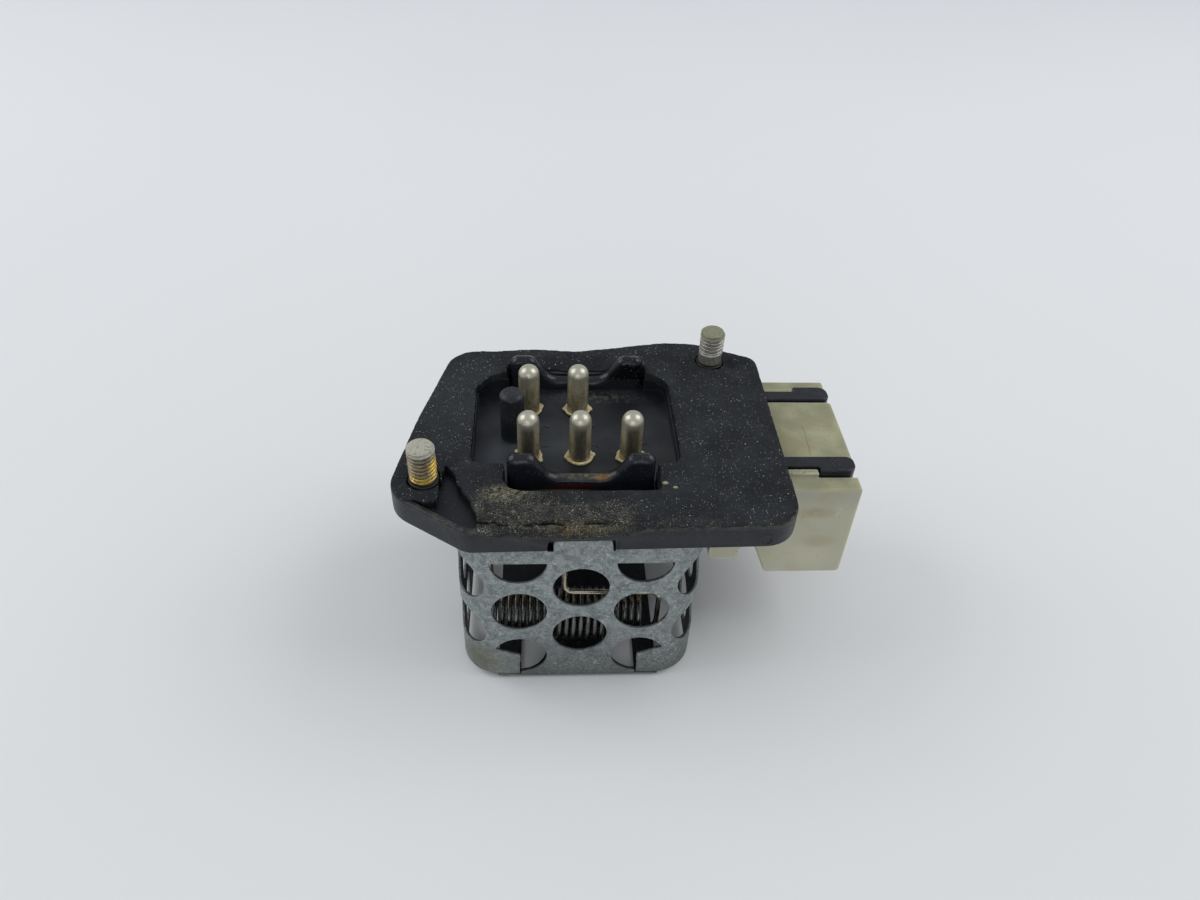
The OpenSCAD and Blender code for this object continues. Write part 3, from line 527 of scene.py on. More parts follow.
@dataclass(frozen=True)
class StainedNylon:
    """Natural nylon, slightly see-through, with yellow-brown stains, small specks and painted
    highlights on its edges.
    """

    name: str = "natural_nylon"
    face_y: float = -HOUSING_Y

    def material(self) -> bpy.types.Material:
        """Build the node material."""
        g = Graph(self.name)
        x, y, z = g.axis("X"), g.axis("Y"), g.axis("Z")
        on_roof = g.ease(z, -4.4, -4.2)
        roof = g.blend(g.patches(0.17, 4, 0.55, 0.35, 0.65), (0.345, 0.335, 0.21),
                       (0.24, 0.24, 0.145))
        shell = g.blend(g.noise(0.1, 3), (0.46, 0.45, 0.35), (0.41, 0.4, 0.29))
        paler = g.most(g.spot((43, self.face_y, -21.5), (8, 3, 6.0)),
                       g.spot((38, self.face_y, -12), (3, 3, 12)))
        sway = g.product(g.math("SUBTRACT", g.noise(0.5, 3), 0.5), 1.6)
        split = g.product(g.near(g.math("ADD", x, sway), 43.1, 0.09, 0.03), on_roof,
                          g.ease(y, -8.4, -7.4), g.ease(y, 1.8, 0.4),
                          g.patches(0.8, 2, 0.55, 0.36, 0.44))
        scuffs = g.product(g.spot((46.9, 1.2, -3.6), (1.5, 1.2, 0.6), 0.3),
                           g.patches(2.4, 3, 0.7, 0.6, 0.64))
        crumbs = g.product(g.ease(y, -6.9, -8.0), on_roof, g.patches(1.8, 3, 0.7, 0.6, 0.66))
        smudges = g.most(g.spot((43.5, self.face_y, -10.0), (5.5, 2, 2.0), 0.2),
                         g.product(g.spot((45, self.face_y, -17.5), (4.5, 2, 2.4), 0.2), 0.7))
        cream = g.product(g.spot((47.3, self.face_y, -9.7), (1.2, 1, 1.7)),
                          g.patches(1.4, 4, 0.7, 0.4, 0.62))
        colour = g.coats(
            shell,
            (g.ease(z, -11.5, -5.0), 1, (0.36, 0.355, 0.275)),
            (g.ease(z, -4.9, -4.3), 1, roof),
            (g.patches(0.16, 3, 0.5, 0.5, 0.75), 0.4, (0.34, 0.28, 0.14)),
            (paler, 0.5, (0.56, 0.53, 0.4)),
            (split, 0.75, (0.05, 0.045, 0.03)),
            (g.most(scuffs, crumbs), 0.85, (0.03, 0.027, 0.02)),
            (smudges, g.span(g.noise(0.6, 3), 0.25, 0.8), (0.3, 0.24, 0.12)),
            (cream, 0.8, (0.62, 0.56, 0.36)),
            (g.grains(0.9, 0.13, 0.14), 0.8, (0.1, 0.08, 0.04)),
            # Painted highlight along the edges, where the nylon glows.
            (g.edge_wear(0.9), 0.75, (0.6, 0.6, 0.5)))
        return g.finish(Base_Color=colour, Roughness=g.span(g.noise(0.8, 3), 0.32, 0.5),
                        Subsurface_Weight=0.35, Subsurface_Radius=(0.0022, 0.0019, 0.0012),
                        Subsurface_Scale=1.0, Normal=g.bump(g.noise(1.2, 4, 0.6), 0.05, 0.3))


@dataclass(frozen=True)
class BladeBrass:
    """Dull brass strip with darker handling marks."""

    name: str = "blade_brass"

    def material(self) -> bpy.types.Material:
        """Build the node material."""
        g = Graph(self.name)
        marks = g.noise(0.9, 5, 0.7, at=g.mapped(g.at, scale=(1, 1, 0.3)))
        colour = g.blend(g.ease(marks, 0.35, 0.7), (0.56, 0.44, 0.2), (0.3, 0.22, 0.1))
        return g.finish(Base_Color=colour, Metallic=0.95, Roughness=g.span(marks, 0.28, 0.5),
                        Normal=g.bump(g.noise(3.0, 3), 0.02, 0.4))


@dataclass(frozen=True)
class HeatedWire:
    """Resistance wire, darkened by heat where wound and brighter along its leads."""

    name: str
    dark: tuple = (0.068, 0.068, 0.066)
    bright: tuple = (0.42, 0.38, 0.3)
    lead_z: float = -26.2

    def material(self) -> bpy.types.Material:
        """Build the node material."""
        g = Graph(self.name)
        scale = g.noise(0.7, 4, 0.7)
        lead = g.ease(g.axis("Z"), self.lead_z - 0.4, self.lead_z + 0.2)
        colour = g.coats(self.dark,
                         (g.ease(scale, 0.35, 0.7), 1, tuple(2.1 * c for c in self.dark)),
                         (lead, 1, self.bright))
        return g.finish(Base_Color=colour, Metallic=0.9, Roughness=g.span(scale, 0.16, 0.38),
                        Normal=g.bump(g.noise(4.0, 3), 0.02, 0.3))


# ---------------------------------------------------------------- surfaces

def linked(name: str, data: bpy.types.ID) -> bpy.types.Object:
    """A new object for a mesh, a lamp or a camera, in the scene."""
    made = bpy.data.objects.new(name, data)
    bpy.context.scene.collection.objects.link(made)
    return made


def hide_node(piece: bpy.types.Object, slot: str, *nodes: str) -> None:
    """Ride on the one body and stand for these CAD nodes, which are hidden; the slot is not used.
    """
    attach(piece, ROOT)
    if nodes:
        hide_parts(*nodes)


def mesh_piece(name: str, points: np.ndarray, faces: Sequence, finish: bpy.types.Material,
               crease: float = 40.0, weld: float = 1e-7) -> bpy.types.Object:
    """Make an object from points in millimetres.

    Args:
        name: name of the object and its mesh.
        points: array of points, in millimetres.
        faces: sequences of point numbers.
        finish: material of the piece.
        crease: angle in degrees past which an edge shades sharp.
        weld: points closer than this, in metres, become one.

    Returns:
        The linked object, at the origin, with its normals pointing outwards.
    """
    mesh = bpy.data.meshes.new(name)
    mesh.from_pydata((np.asarray(points, float).reshape(-1, 3) * MM).tolist(), [], list(faces))
    work = bmesh.new()
    work.from_mesh(mesh)
    bmesh.ops.remove_doubles(work, verts=work.verts, dist=weld)
    bmesh.ops.dissolve_degenerate(work, edges=work.edges, dist=weld)
    bmesh.ops.recalc_face_normals(work, faces=work.faces)
    work.to_mesh(mesh)
    work.free()
    mesh.shade_smooth()
    mesh.set_sharp_from_angle(angle=math.radians(crease))
    mesh.materials.append(finish)
    return linked(name, mesh)


def grid_faces(rows: int, columns: int, wrap: bool = True) -> list:
    """Quads of a grid stored row by row; wrap joins the last column to the first."""
    r, c = np.meshgrid(np.arange(rows - 1), np.arange(columns - (not wrap)), indexing="ij")
    here, beside = r * columns + c, r * columns + (c + 1) % columns
    return np.stack([here, beside, beside + columns, here + columns], -1).reshape(-1, 4).tolist()


def turned(centre: Sequence[float], r: np.ndarray, a: np.ndarray, h: np.ndarray) -> np.ndarray:
    """Points round an upright axis: centre + (r cos a, r sin a, h)."""
    return np.stack([centre[0] + r * np.cos(a), centre[1] + r * np.sin(a), h + 0 * a], -1)


def circle(sides: int) -> np.ndarray:
    """Angles of one full turn in even steps."""
    return np.linspace(0, 2 * np.pi, sides, endpoint=False)


def value_noise(x: np.ndarray, y: np.ndarray, cell: float, seed: int) -> np.ndarray:
    """Smooth noise from -1 to 1: random heights on a square lattice of this cell size, blended
    between its four corners by the S-curve 3t^2 - 2t^3."""
    lattice = np.random.default_rng(seed).uniform(-1, 1, (128, 128))
    u, v = x / cell + 640, y / cell + 640
    i, j = np.floor(u).astype(int), np.floor(v).astype(int)
    s, t = u - i, v - j
    s, t = s * s * (3 - 2 * s), t * t * (3 - 2 * t)
    pick = lambda p, q: lattice[p % 128, q % 128]
    return ((pick(i, j) * (1 - s) + pick(i + 1, j) * s) * (1 - t)
            + (pick(i, j + 1) * (1 - s) + pick(i + 1, j + 1) * s) * t)


def mixed_noise(x: np.ndarray, y: np.ndarray, *octaves: tuple) -> np.ndarray:
    """The sum of value noises, each given as its height, cell size and seed."""
    return sum(height * value_noise(x, y, cell, seed) for height, cell, seed in octaves)


def bell(at: np.ndarray, middle: float, reach: float) -> np.ndarray:
    """A bell curve: one at the middle and 1/e at this reach."""
    return np.exp(-((at - middle) / reach) ** 2)


def rounded_ring(corners: Sequence[Sequence[float]], inward: float = 0.0) -> np.ndarray:
    """A closed outline with each corner (x, y, r) rounded in eight steps, moved inward.

    Formula: each corner moves along its bisector by inward / sin(half its angle), then a fillet
    of its own radius less inward joins its two sides.
    """
    c = np.array(corners, float)
    p, r = c[:, :2], c[:, 2]
    a = np.roll(p, 1, 0) - p
    b = np.roll(p, -1, 0) - p
    a /= np.linalg.norm(a, axis=1, keepdims=True)
    b /= np.linalg.norm(b, axis=1, keepdims=True)
    side = np.where(a[:, 0] * b[:, 1] - a[:, 1] * b[:, 0] < 0, 1.0, -1.0)
    half = np.arccos((a * b).sum(1)) / 2
    bisector = (a + b) / np.linalg.norm(a + b, axis=1, keepdims=True)
    p = p + (side * inward / np.sin(half))[:, None] * bisector
    r = np.maximum(r - side * inward, 0.02)
    centre = p + bisector * (r / np.sin(half))[:, None]
    start = p + a * (r / np.tan(half))[:, None] - centre
    end = p + b * (r / np.tan(half))[:, None] - centre
    sweep = np.pi - 2 * half
    t = np.linspace(0, 1, 9)
    w0 = np.sin(sweep[:, None] * (1 - t)) / np.sin(sweep)[:, None]
    w1 = np.sin(sweep[:, None] * t) / np.sin(sweep)[:, None]
    ring = centre[:, None] + start[:, None] * w0[..., None] + end[:, None] * w1[..., None]
    return ring.reshape(-1, 2)


def ring_distance(x: np.ndarray, y: np.ndarray, ring: np.ndarray) -> np.ndarray:
    """Signed distance to a closed outline, negative inside.

    Formula: the smallest distance to any of its sides, with its sign from the crossings of a
    ray along +X.
    """
    best = np.full(x.shape, 1e9)
    inside = np.zeros(x.shape, bool)
    for (px, py), (qx, qy) in zip(ring, np.roll(ring, -1, 0)):
        ex, ey = qx - px, qy - py
        t = np.clip(((x - px) * ex + (y - py) * ey) / (ex * ex + ey * ey + 1e-12), 0, 1)
        best = np.minimum(best, np.hypot(x - px - t * ex, y - py - t * ey))
        across = (py > y) != (qy > y)
        inside ^= across & (x < px + (y - py) / (ey + (ey == 0)) * ex)
    return np.where(inside, -best, best)


def softened(node: str, name: str, finish: bpy.types.Material, join: float,
             width_at: Callable[[np.ndarray], np.ndarray],
             reshape: Callable[[np.ndarray], np.ndarray] = lambda at: at) -> bpy.types.Object:
    """A copy of a CAD node with its moulded edges rounded in four steps.

    Args:
        node: the CAD node to copy.
        name: name of the new piece.
        finish: its material.
        join: corners closer than this, in millimetres, become one, so that no face is too
            small for the rounding.
        width_at: gives the wanted rounding in millimetres at edge middles in millimetres.
        reshape: moves the corners, given and returned in millimetres, before the rounding.

    Returns:
        The new piece, with a live Bevel modifier where any edge is rounded.
    """
    work = bmesh.new()
    work.from_mesh(frame["nodes"][node].data)
    for reach in (1e-6, join * MM):
        bmesh.ops.remove_doubles(work, verts=work.verts, dist=reach)
        bmesh.ops.dissolve_limit(work, angle_limit=FLAT, verts=work.verts, edges=work.edges)
    for corner, place in zip(work.verts, reshape(np.array([v.co for v in work.verts]) / MM)):
        corner.co = place * MM
    work.normal_update()
    bend = np.array([abs(e.calc_face_angle(0.0)) for e in work.edges])
    middle = np.array([(e.verts[0].co + e.verts[1].co) / 2 for e in work.edges]) / MM
    mesh = bpy.data.meshes.new(name)
    work.edges.index_update()
    work.to_mesh(mesh)
    work.free()
    width = np.where(bend > BENT, width_at(middle), 0.0)
    widest = max(float(width.max()), 1e-6)
    weights = mesh.attributes.new("bevel_weight_edge", "FLOAT", "EDGE")
    weights.data.foreach_set("value", (width / widest).astype(np.float32))
    mesh.materials.clear()
    mesh.materials.append(finish)
    mesh.shade_smooth()
    mesh.set_sharp_from_angle(angle=math.radians(35))
    piece = linked(name, mesh)
    if width.any():
        bevel = piece.modifiers.new("rounded edges", "BEVEL")
        bevel.limit_method = "WEIGHT"
        bevel.width = widest * MM
        bevel.segments = 4
        bevel.use_clamp_overlap = False
        bevel.miter_outer = "MITER_ARC"
    piece.modifiers.new("even triangles", "TRIANGULATE").ngon_method = "BEAUTY"
    normals = piece.modifiers.new("even shading", "WEIGHTED_NORMAL")
    normals.keep_sharp = True
    return piece


def within_box(at: np.ndarray) -> np.ndarray:
    """The same corners, kept just inside the CAD box at its right end."""
    at[:, 0] = np.minimum(at[:, 0], CAD_BOX[1][0] / MM - 0.01)
    return at


# ---------------------------------------------------------------- the plate

@dataclass
class PlateMoulding:
    """The black mounting plate with its socket, guide walls, keying post and snap arms."""

    wall_r: float = 1.3
    small_r: float = 0.22
    arm_r: float = 0.28
    digits: tuple = ((-6.25, -4.0), (-6.25, 1.8), (3.1, -3.9), (2.9, 2.0), (12.4, -3.3))
    notch_floors: tuple = ((-6.02, -4.95), (4.95, 5.32))
    marks: tuple = ((9.9, 13.9, 2.72, 1.0, "up"), (9.5, -15.5, 2.72, 1.0, "up"),
                    (30.5, -29.34, -3.5, 1.1, "front"), (47.4, -11.1, -2.98, 1.25, "up"),
                    (47.4, 11.1, -2.98, 1.25, "up"))

    def edge_width(self, at: np.ndarray) -> np.ndarray:
        """Rounding at each edge: large on the plate's rim and the guide walls, small elsewhere.

        Where two rules hold, the later one counts.
        """
        x, y, z = at.T
        wide, deep = np.abs(x), np.abs(y)
        guide = (np.abs(deep - GUIDE_Y) < 1.6) & (wide < GUIDE_HALF + 0.14)
        width = np.full(len(at), self.small_r)
        for rule, radius in (
                (np.abs(z - RIM_Z) < 0.1, 0.4),
                (guide & (z > SOCKET_Z + 0.6), self.wall_r),
                (x > 37.5, self.arm_r),
                ((np.abs(z - UNDERSIDE_Z) < 0.1) & (x < 37), 0.3),
                (z < UNDERSIDE_Z - 0.2, 0.12),
                ((z < SOCKET_Z + 0.05) & (z > UNDERSIDE_Z + 0.1), 0.0),
                ((wide < 5.4) & (deep > 17) & (z < TRAY_Z), 0.0)):
            width[rule] = radius
        return width

    def fuller(self, at: np.ndarray) -> np.ndarray:
        """Guide walls drawn fuller across, and the front notch opened a little on the left."""
        x, y, z = at.T
        wide, past = np.abs(x), np.abs(y) - GUIDE_Y
        wall = (wide < GUIDE_HALF) & (np.abs(np.abs(past) - 1.0) < 0.03) & (z > SOCKET_Z - 0.03)
        at[:, 1] += wall * np.sign(past) * np.sign(y) * np.where(past > 0, 0.33, 0.45)
        notch = (np.abs(wide - 5.0) < 0.03) & (y < -27.0) & (z < TRAY_Z)
        at[:, 0] += notch * np.where(x < 0, -1.0, 0.3)
        return within_box(at)

    def build(self, finish: bpy.types.Material) -> None:
        """Make the moulding, its ejector marks and the raised terminal numbers."""
        body = softened("base_plate", "plate_moulding", finish, 0.07, self.edge_width, self.fuller)
        hide_node(body, "black_plastic", "base_plate")
        self.build_marks(finish)
        self.build_digits(finish)
        self.build_notch_floors(finish)

    def build_notch_floors(self, finish: bpy.types.Material) -> None:
        """Thin floors beside the cage's tab, level with the plate's underside."""
        faces = [(0, 1, 3, 2), (4, 6, 7, 5), (0, 4, 5, 1), (2, 3, 7, 6), (0, 2, 6, 4), (1, 5, 7, 3)]
        for number, along in enumerate(self.notch_floors, 1):
            corners = list(itertools.product(
                along, (-30.05, -28.25), (UNDERSIDE_Z + 0.02, UNDERSIDE_Z + 0.2)))
            floor = mesh_piece(f"notch_floor_{number}", np.array(corners), faces, finish)
            hide_node(floor, "black_plastic")

    def build_marks(self, finish: bpy.types.Material) -> None:
        """Thin raised rings left by the mould's ejector pins."""
        s, t = circle(40)[:, None], circle(8)
        for number, (x, y, z, r, way) in enumerate(self.marks, 1):
            flat = turned((0, 0), r + 0.1 * np.cos(t), s, 0.07 * np.sin(t))
            if way == "front":
                flat = flat[..., [0, 2, 1]]
            points = flat + np.array([x, y, z])
            ring = mesh_piece(f"ejector_mark_{number}", np.concatenate([points, points[:1]]),
                              grid_faces(41, 8), finish, weld=1e-6)
            hide_node(ring, "black_plastic")

    def build_digits(self, finish: bpy.types.Material) -> None:
        """Raised digits on the socket floor, one beside each pin."""
        for digit, (x, y) in enumerate(self.digits, 1):
            curve = bpy.data.curves.new(f"terminal_number_{digit}", "FONT")
            curve.body, curve.size, curve.extrude = str(digit), 2.2 * MM, 0.1 * MM
            curve.align_x = curve.align_y = "CENTER"
            holder = bpy.data.objects.new(curve.name, curve)
            mesh = bpy.data.meshes.new_from_object(holder)
            bpy.data.objects.remove(holder)
            place = Matrix.Translation(Vector((x, y, SOCKET_Z)) * MM)
            mesh.transform(place @ Matrix.Rotation(math.pi / 2, 4, "Z"))
            mesh.materials.clear()
            mesh.materials.append(finish)
            hide_node(linked(curve.name, mesh), "black_plastic")


# ---------------------------------------------------------------- the gasket

@dataclass
class FoamGasket:
    """Foam gasket in the tray: a height field with ragged, crumbling edges and a torn notch."""

    outline: tuple = ((-19.4, -30.3, 4), (36.6, -29.2, 6), (36.6, 18.4, 3.2), (24.6, 23.95, 18),
                      (17.6, 23.95, 16), (0.2, 20.8, 14), (-8.2, 21.55, 30), (-16.5, 20.7, 40),
                      (-24.5, 20.65, 6.2), (-29.66, -0.84, 60), (-33.2, -20.75, 6.5))
    tear: tuple = ((-34, -26), (-30.2, -23.3), (-28.4, -22.6), (-26.6, -23.4), (-24.4, -22.6),
                   (-24.4, -20.2), (-24, -17.2), (-23.5, -14.4), (-22.4, -15.4), (-21.3, -19),
                   (-18.9, -22.7), (-18, -25.6), (-17.4, -28), (-17.2, -31.5), (-30, -31.5))
    crack: tuple = ((-17.6, -27.6), (-14.7, -27.8), (-13.3, -28.5), (-11.4, -29), (-9.2, -28.5),
                    (-6.6, -28), (-4.5, -28.1), (-2.7, -28.9), (-1.1, -28.9), (0.3, -28.3),
                    (3, -28.1), (5.8, -28.6), (9, -29.3))
    socket: tuple = ((-19.45, -13.65, 2), (17.85, -13.65, 2), (17.85, 13.65, 6),
                     (-19.45, 13.65, 7))
    pockets: tuple = ((-13.65, -20.65, 3.6), (13.65, -20.65, 1.2), (13.65, 16.2, 1.2),
                      (-13.65, 16.2, 1.2))
    stud_hole_r: float = 2.9
    rim_w: float = 1.2
    lap: float = 0.12
    cell: float = 0.27

    def distance(self, x: np.ndarray, y: np.ndarray) -> np.ndarray:
        """Signed distance to the gasket's edge, negative in the foam, with crumbled edges."""
        rag = mixed_noise(x, y, (1, 0.8, 3), (0.6, 2.4, 4))
        outer = ring_distance(x, y, rounded_ring(self.outline, self.lap))
        outer = outer + 0.06 * np.abs(rag) + (y < -25) * np.clip(0.28 * rag, 0, 0.35)
        hollow = np.minimum(ring_distance(x, y, rounded_ring(self.socket)),
                            ring_distance(x, y, rounded_ring(self.pockets)))
        hollow = hollow - 0.12 * rag - 0.3 * (y > 7) * np.maximum(value_noise(x, y, 1.3, 9), 0)
        torn = ring_distance(x, y, np.array(self.tear)) - 0.3 * rag
        bores = [np.hypot(x - sx, y - sy) - self.stud_hole_r - 0.12 * rag for sx, sy in STUDS]
        return np.maximum.reduce([outer, -hollow, -torn, *(-b for b in bores)])

    def underside(self, x: np.ndarray, y: np.ndarray) -> np.ndarray:
        """Height of the foam's lower face: on the tray, or on the rim where the foam laps it."""
        over_rim = ring_distance(x, y, rounded_ring(self.outline, self.rim_w + 0.1)) > 0
        return np.where(over_rim, RIM_Z - 0.02, TRAY_Z)

    def top(self, x: np.ndarray, y: np.ndarray, inside: np.ndarray) -> np.ndarray:
        """Height of the foam: pressed and pitted, cracked along the front, rounded at its edges."""
        h = mixed_noise(x, y, (0.05, 6.0, 11), (0.05, 1.1, 12), (0.055, 0.5, 13)) - 0.05
        heap = np.clip(1.2 - np.hypot((x + 10) / 11, (y + 25) / 6), 0, 1)
        h += heap * (mixed_noise(x, y, (0.24, 0.9, 14), (0.18, 2.2, 15), (0.1, 0.45, 21)) + 0.12)
        band = np.clip(1.2 - np.hypot((x - 3) / 15, (y + 28) / 2.6), 0, 1)
        h += band * mixed_noise(x, y, (0.14, 0.8, 16), (0.12, 1.9, 17), (0.08, 0.45, 22))
        behind = np.clip((9.4 - np.abs(x)) / 4.2, 0, 1)
        sag = behind * behind * (3 - 2 * behind) * np.clip((19.6 - y) / 3.4, 0, 1) ** 1.4
        h -= 1.72 * sag * (y > 10)
        h += 0.35 * bell(np.hypot(x - 14.27, y + 19), 0, math.sqrt(0.22))
        h += 0.28 * bell(np.hypot(x - 15.9, y + 20.1), 0, math.sqrt(0.16))
        pits = np.clip(value_noise(x, y, 1.4, 18) - 0.55, 0, 1) * np.clip((-14 - y) / 8, 0, 1)
        h -= 0.7 * pits
        pit = np.clip(1 - np.hypot((x - 30.8) / 1.5, (y - 16.6) / 2.6), 0, 1)
        h -= 0.6 * pit * (1 + 0.6 * value_noise(x, y, 0.7, 19))
        way = np.array(self.crack)
        past = np.interp(x, way[:, 0], way[:, 1]) + 0.12 * value_noise(x, 0 * y, 0.5, 23) - y
        along = np.clip((x + 17.8) / 0.8, 0, 1) * np.clip((12 - x) / 5, 0, 1)
        h += along * 0.16 * np.clip(1 - np.abs(past + 0.5) / 0.6, 0, 1)
        h -= along * 0.34 * np.clip(past / 0.12 + 0.5, 0, 1)
        h -= along * 0.8 * bell(past, 0.16, 0.2) * (0.8 + 0.4 * value_noise(x, y, 1.6, 20))
        right = 0.35 * bell(y - 0.0045 * (x - 19) ** 2, -29.75, 0.16)
        h -= right * np.clip((x - 10) / 3, 0, 1) * (0.7 + 0.6 * value_noise(x, y, 1.8, 24))
        t = np.clip(inside / 0.5, 0, 1)
        frayed = np.where(y < -24, 0.2, 0.14)
        h = h - frayed * (1 - np.sqrt(1 - (1 - t) ** 2))
        return np.maximum(h, self.underside(x, y) + 0.03)

    def build_overhang(self, finish: bpy.types.Material) -> None:
        """Caked foam and dirt that hangs over the front edge.

        Formula: at each x a section runs from the foam's top over the edge and down the front
        face. Its depth follows two bell curves of x and noise, and its bulge is noise as well.
        """
        s = np.linspace(-17.2, 10.0, 170)[:, None]
        t = np.linspace(0, 1, 18)
        edge = -30.3 + (s + 19.4) * 1.1 / 56.0
        fade = np.clip((s + 17.2) / 1.5, 0, 1) * np.clip((10.0 - s) / 2.5, 0, 1)
        depth = 0.4 + fade * (1.25 + 0.75 * bell(s, -1, 5.5)
                              + mixed_noise(s, 0 * s, (0.45, 1.7, 31), (0.25, 0.6, 32)))
        bulge = fade * (0.16 + 0.12 * value_noise(s, t * 3.0, 0.8, 33))
        in_y = np.interp(t, [0, 0.2, 0.4, 0.9, 1], [0.75, 0.4, 0, 0, 0.35])
        out = np.interp(t, [0, 0.2, 0.5, 0.85, 1], [0, 0.3, 1, 0.8, 0])
        y = np.maximum(edge + in_y - bulge * out, CAD_BOX[0][1] / MM + 0.02)
        z = np.where(t < 0.4, np.interp(t, [0, 0.2, 0.4], [-0.4, -0.24, -0.42]),
                     -0.42 - (depth - 0.42) * np.clip((t - 0.4) / 0.6, 0, 1))
        z = z + fade * 0.12 * value_noise(s, t * 6.0, 0.5, 34) * (t > 0.1) * (t < 0.9)
        points = np.stack([s + 0 * t, y, z], -1)
        sheet = mesh_piece("foam_overhang", points, grid_faces(170, 18), finish, 60, weld=1e-6)
        hide_node(sheet, "foam_gasket")

    def build(self, finish: bpy.types.Material) -> None:
        """Make the gasket.

        Formula: a square lattice is cut by the signed distance. Points within 0.7 of a cell of
        the edge slide along the distance's slope onto it, cells with all corners in the foam
        stay, a second sheet lies on the tray, and quads join the two along the open sides.
        """
        xs = np.arange(-33.6, 37.5, self.cell)
        ys = np.arange(-30.8, 24.6, self.cell)
        x, y = np.meshgrid(xs, ys, indexing="ij")
        d = self.distance(x, y)
        gx, gy = np.gradient(d, self.cell)
        size = np.maximum(np.hypot(gx, gy), 0.3)
        near = np.abs(d) < 0.7 * self.cell
        x = np.where(near, x - d * gx / size, x)
        y = np.where(near, y - d * gy / size, y)
        d = np.where(near, 0.0, d)
        foam = d <= 0
        number = np.arange(x.size).reshape(x.shape)
        corners = lambda grid: np.stack([grid[:-1, :-1], grid[1:, :-1],
                                         grid[1:, 1:], grid[:-1, 1:]], -1)
        quads = corners(number)[corners(foam).all(-1)]
        used, quads = np.unique(quads, return_inverse=True)
        quads = quads.reshape(-1, 4)
        px, py, pd = x.ravel()[used], y.ravel()[used], d.ravel()[used]
        top = np.stack([px, py, self.top(px, py, -pd)], -1)
        bottom = np.stack([px, py, self.underside(px, py)], -1)
        n = len(used)
        ends = np.stack([quads, np.roll(quads, -1, 1)], -1).reshape(-1, 2)
        forward, backward = ends[:, 0] * n + ends[:, 1], ends[:, 1] * n + ends[:, 0]
        rim = ends[~np.isin(forward, backward)]
        sides = np.stack([rim[:, 1], rim[:, 0], rim[:, 0] + n, rim[:, 1] + n], -1)
        faces = np.concatenate([quads, quads[:, ::-1] + n, sides]).tolist()
        piece = mesh_piece("foam_gasket", np.concatenate([top, bottom]), faces, finish, 50)
        hide_node(piece, "foam_gasket", "gasket")
        self.build_overhang(finish)


# ---------------------------------------------------------------- metal parts

@dataclass
class SheetCage:
    """The perforated cage. Its holes run within 0.1 mm of the fold lines of its round corners,
    too close for a bevel, so its finish softens the punched edges instead."""

    def build(self, finish: bpy.types.Material) -> None:
        """Make the cage from the CAD sheet."""
        sheet = softened("cage", "perforated_cage", finish, 0.13, lambda at: np.zeros(len(at)))
        hide_node(sheet, "zinc_sheet", "cage")


@dataclass
class ThreadedStud:
    """A mounting stud with a rolled thread, a chamfered top and a flat head."""

    name: str
    node: str
    slot: str
    centre: tuple
    thread_from: float
    crest_r: float = 2.45
    depth: float = 0.42
    pitch: float = 0.8
    top_z: float = STUD_TOP_Z
    shank_r: float = 2.65

    def build(self, finish: bpy.types.Material) -> None:
        """Make the stud.

        Formula: the radius is the crest's less the depth times a rounded triangle wave of
        z / pitch - angle / full turn. The wave fades out at the thread's foot, and the chamfer
        caps the radius near the top.
        """
        a = circle(72)
        z = np.linspace(0.02, self.top_z - 0.02, 180)[:, None]
        phase = (z / self.pitch - a / (2 * np.pi)) % 1.0
        wave = np.clip(np.abs(2 * phase - 1) * 1.5 - 0.25, 0, 1)
        groove = self.depth * (1 - wave * wave * (3 - 2 * wave))
        fade = np.clip((z - self.thread_from) / 0.7, 0, 1)
        wear = 0.035 * value_noise(a * 2.2 + 0 * z, z * 1.3 + 0 * a, 0.8, len(self.name))
        r = self.crest_r - groove * fade - 0.12 * (1 - fade) + wear - 0.04
        r = np.minimum(r, self.crest_r - 0.55 + (self.top_z - z) * 1.1)
        flat = r[-1] * np.array([[0.93], [0.6], [0.25], [0.0]])
        uneven = value_noise(flat * np.cos(a) * 3, flat * np.sin(a) * 3, 1.0, 8)
        low = np.array([[0, -6.6], [4.2, -6.6], [4.5, -6.4], [4.5, -5.4], [4.4, -5.2],
                        [self.shank_r, -5.2], [self.shank_r, -0.12], [self.shank_r - 0.12, 0.0]])
        points = np.concatenate([turned(self.centre, radius, a, height) for radius, height in (
            (low[:, :1], low[:, 1:]), (r, z), (flat, self.top_z + 0.02 * uneven - 0.02))])
        piece = mesh_piece(self.name, points, grid_faces(len(points), 72), finish, 60)
        hide_node(piece, self.slot, self.node)


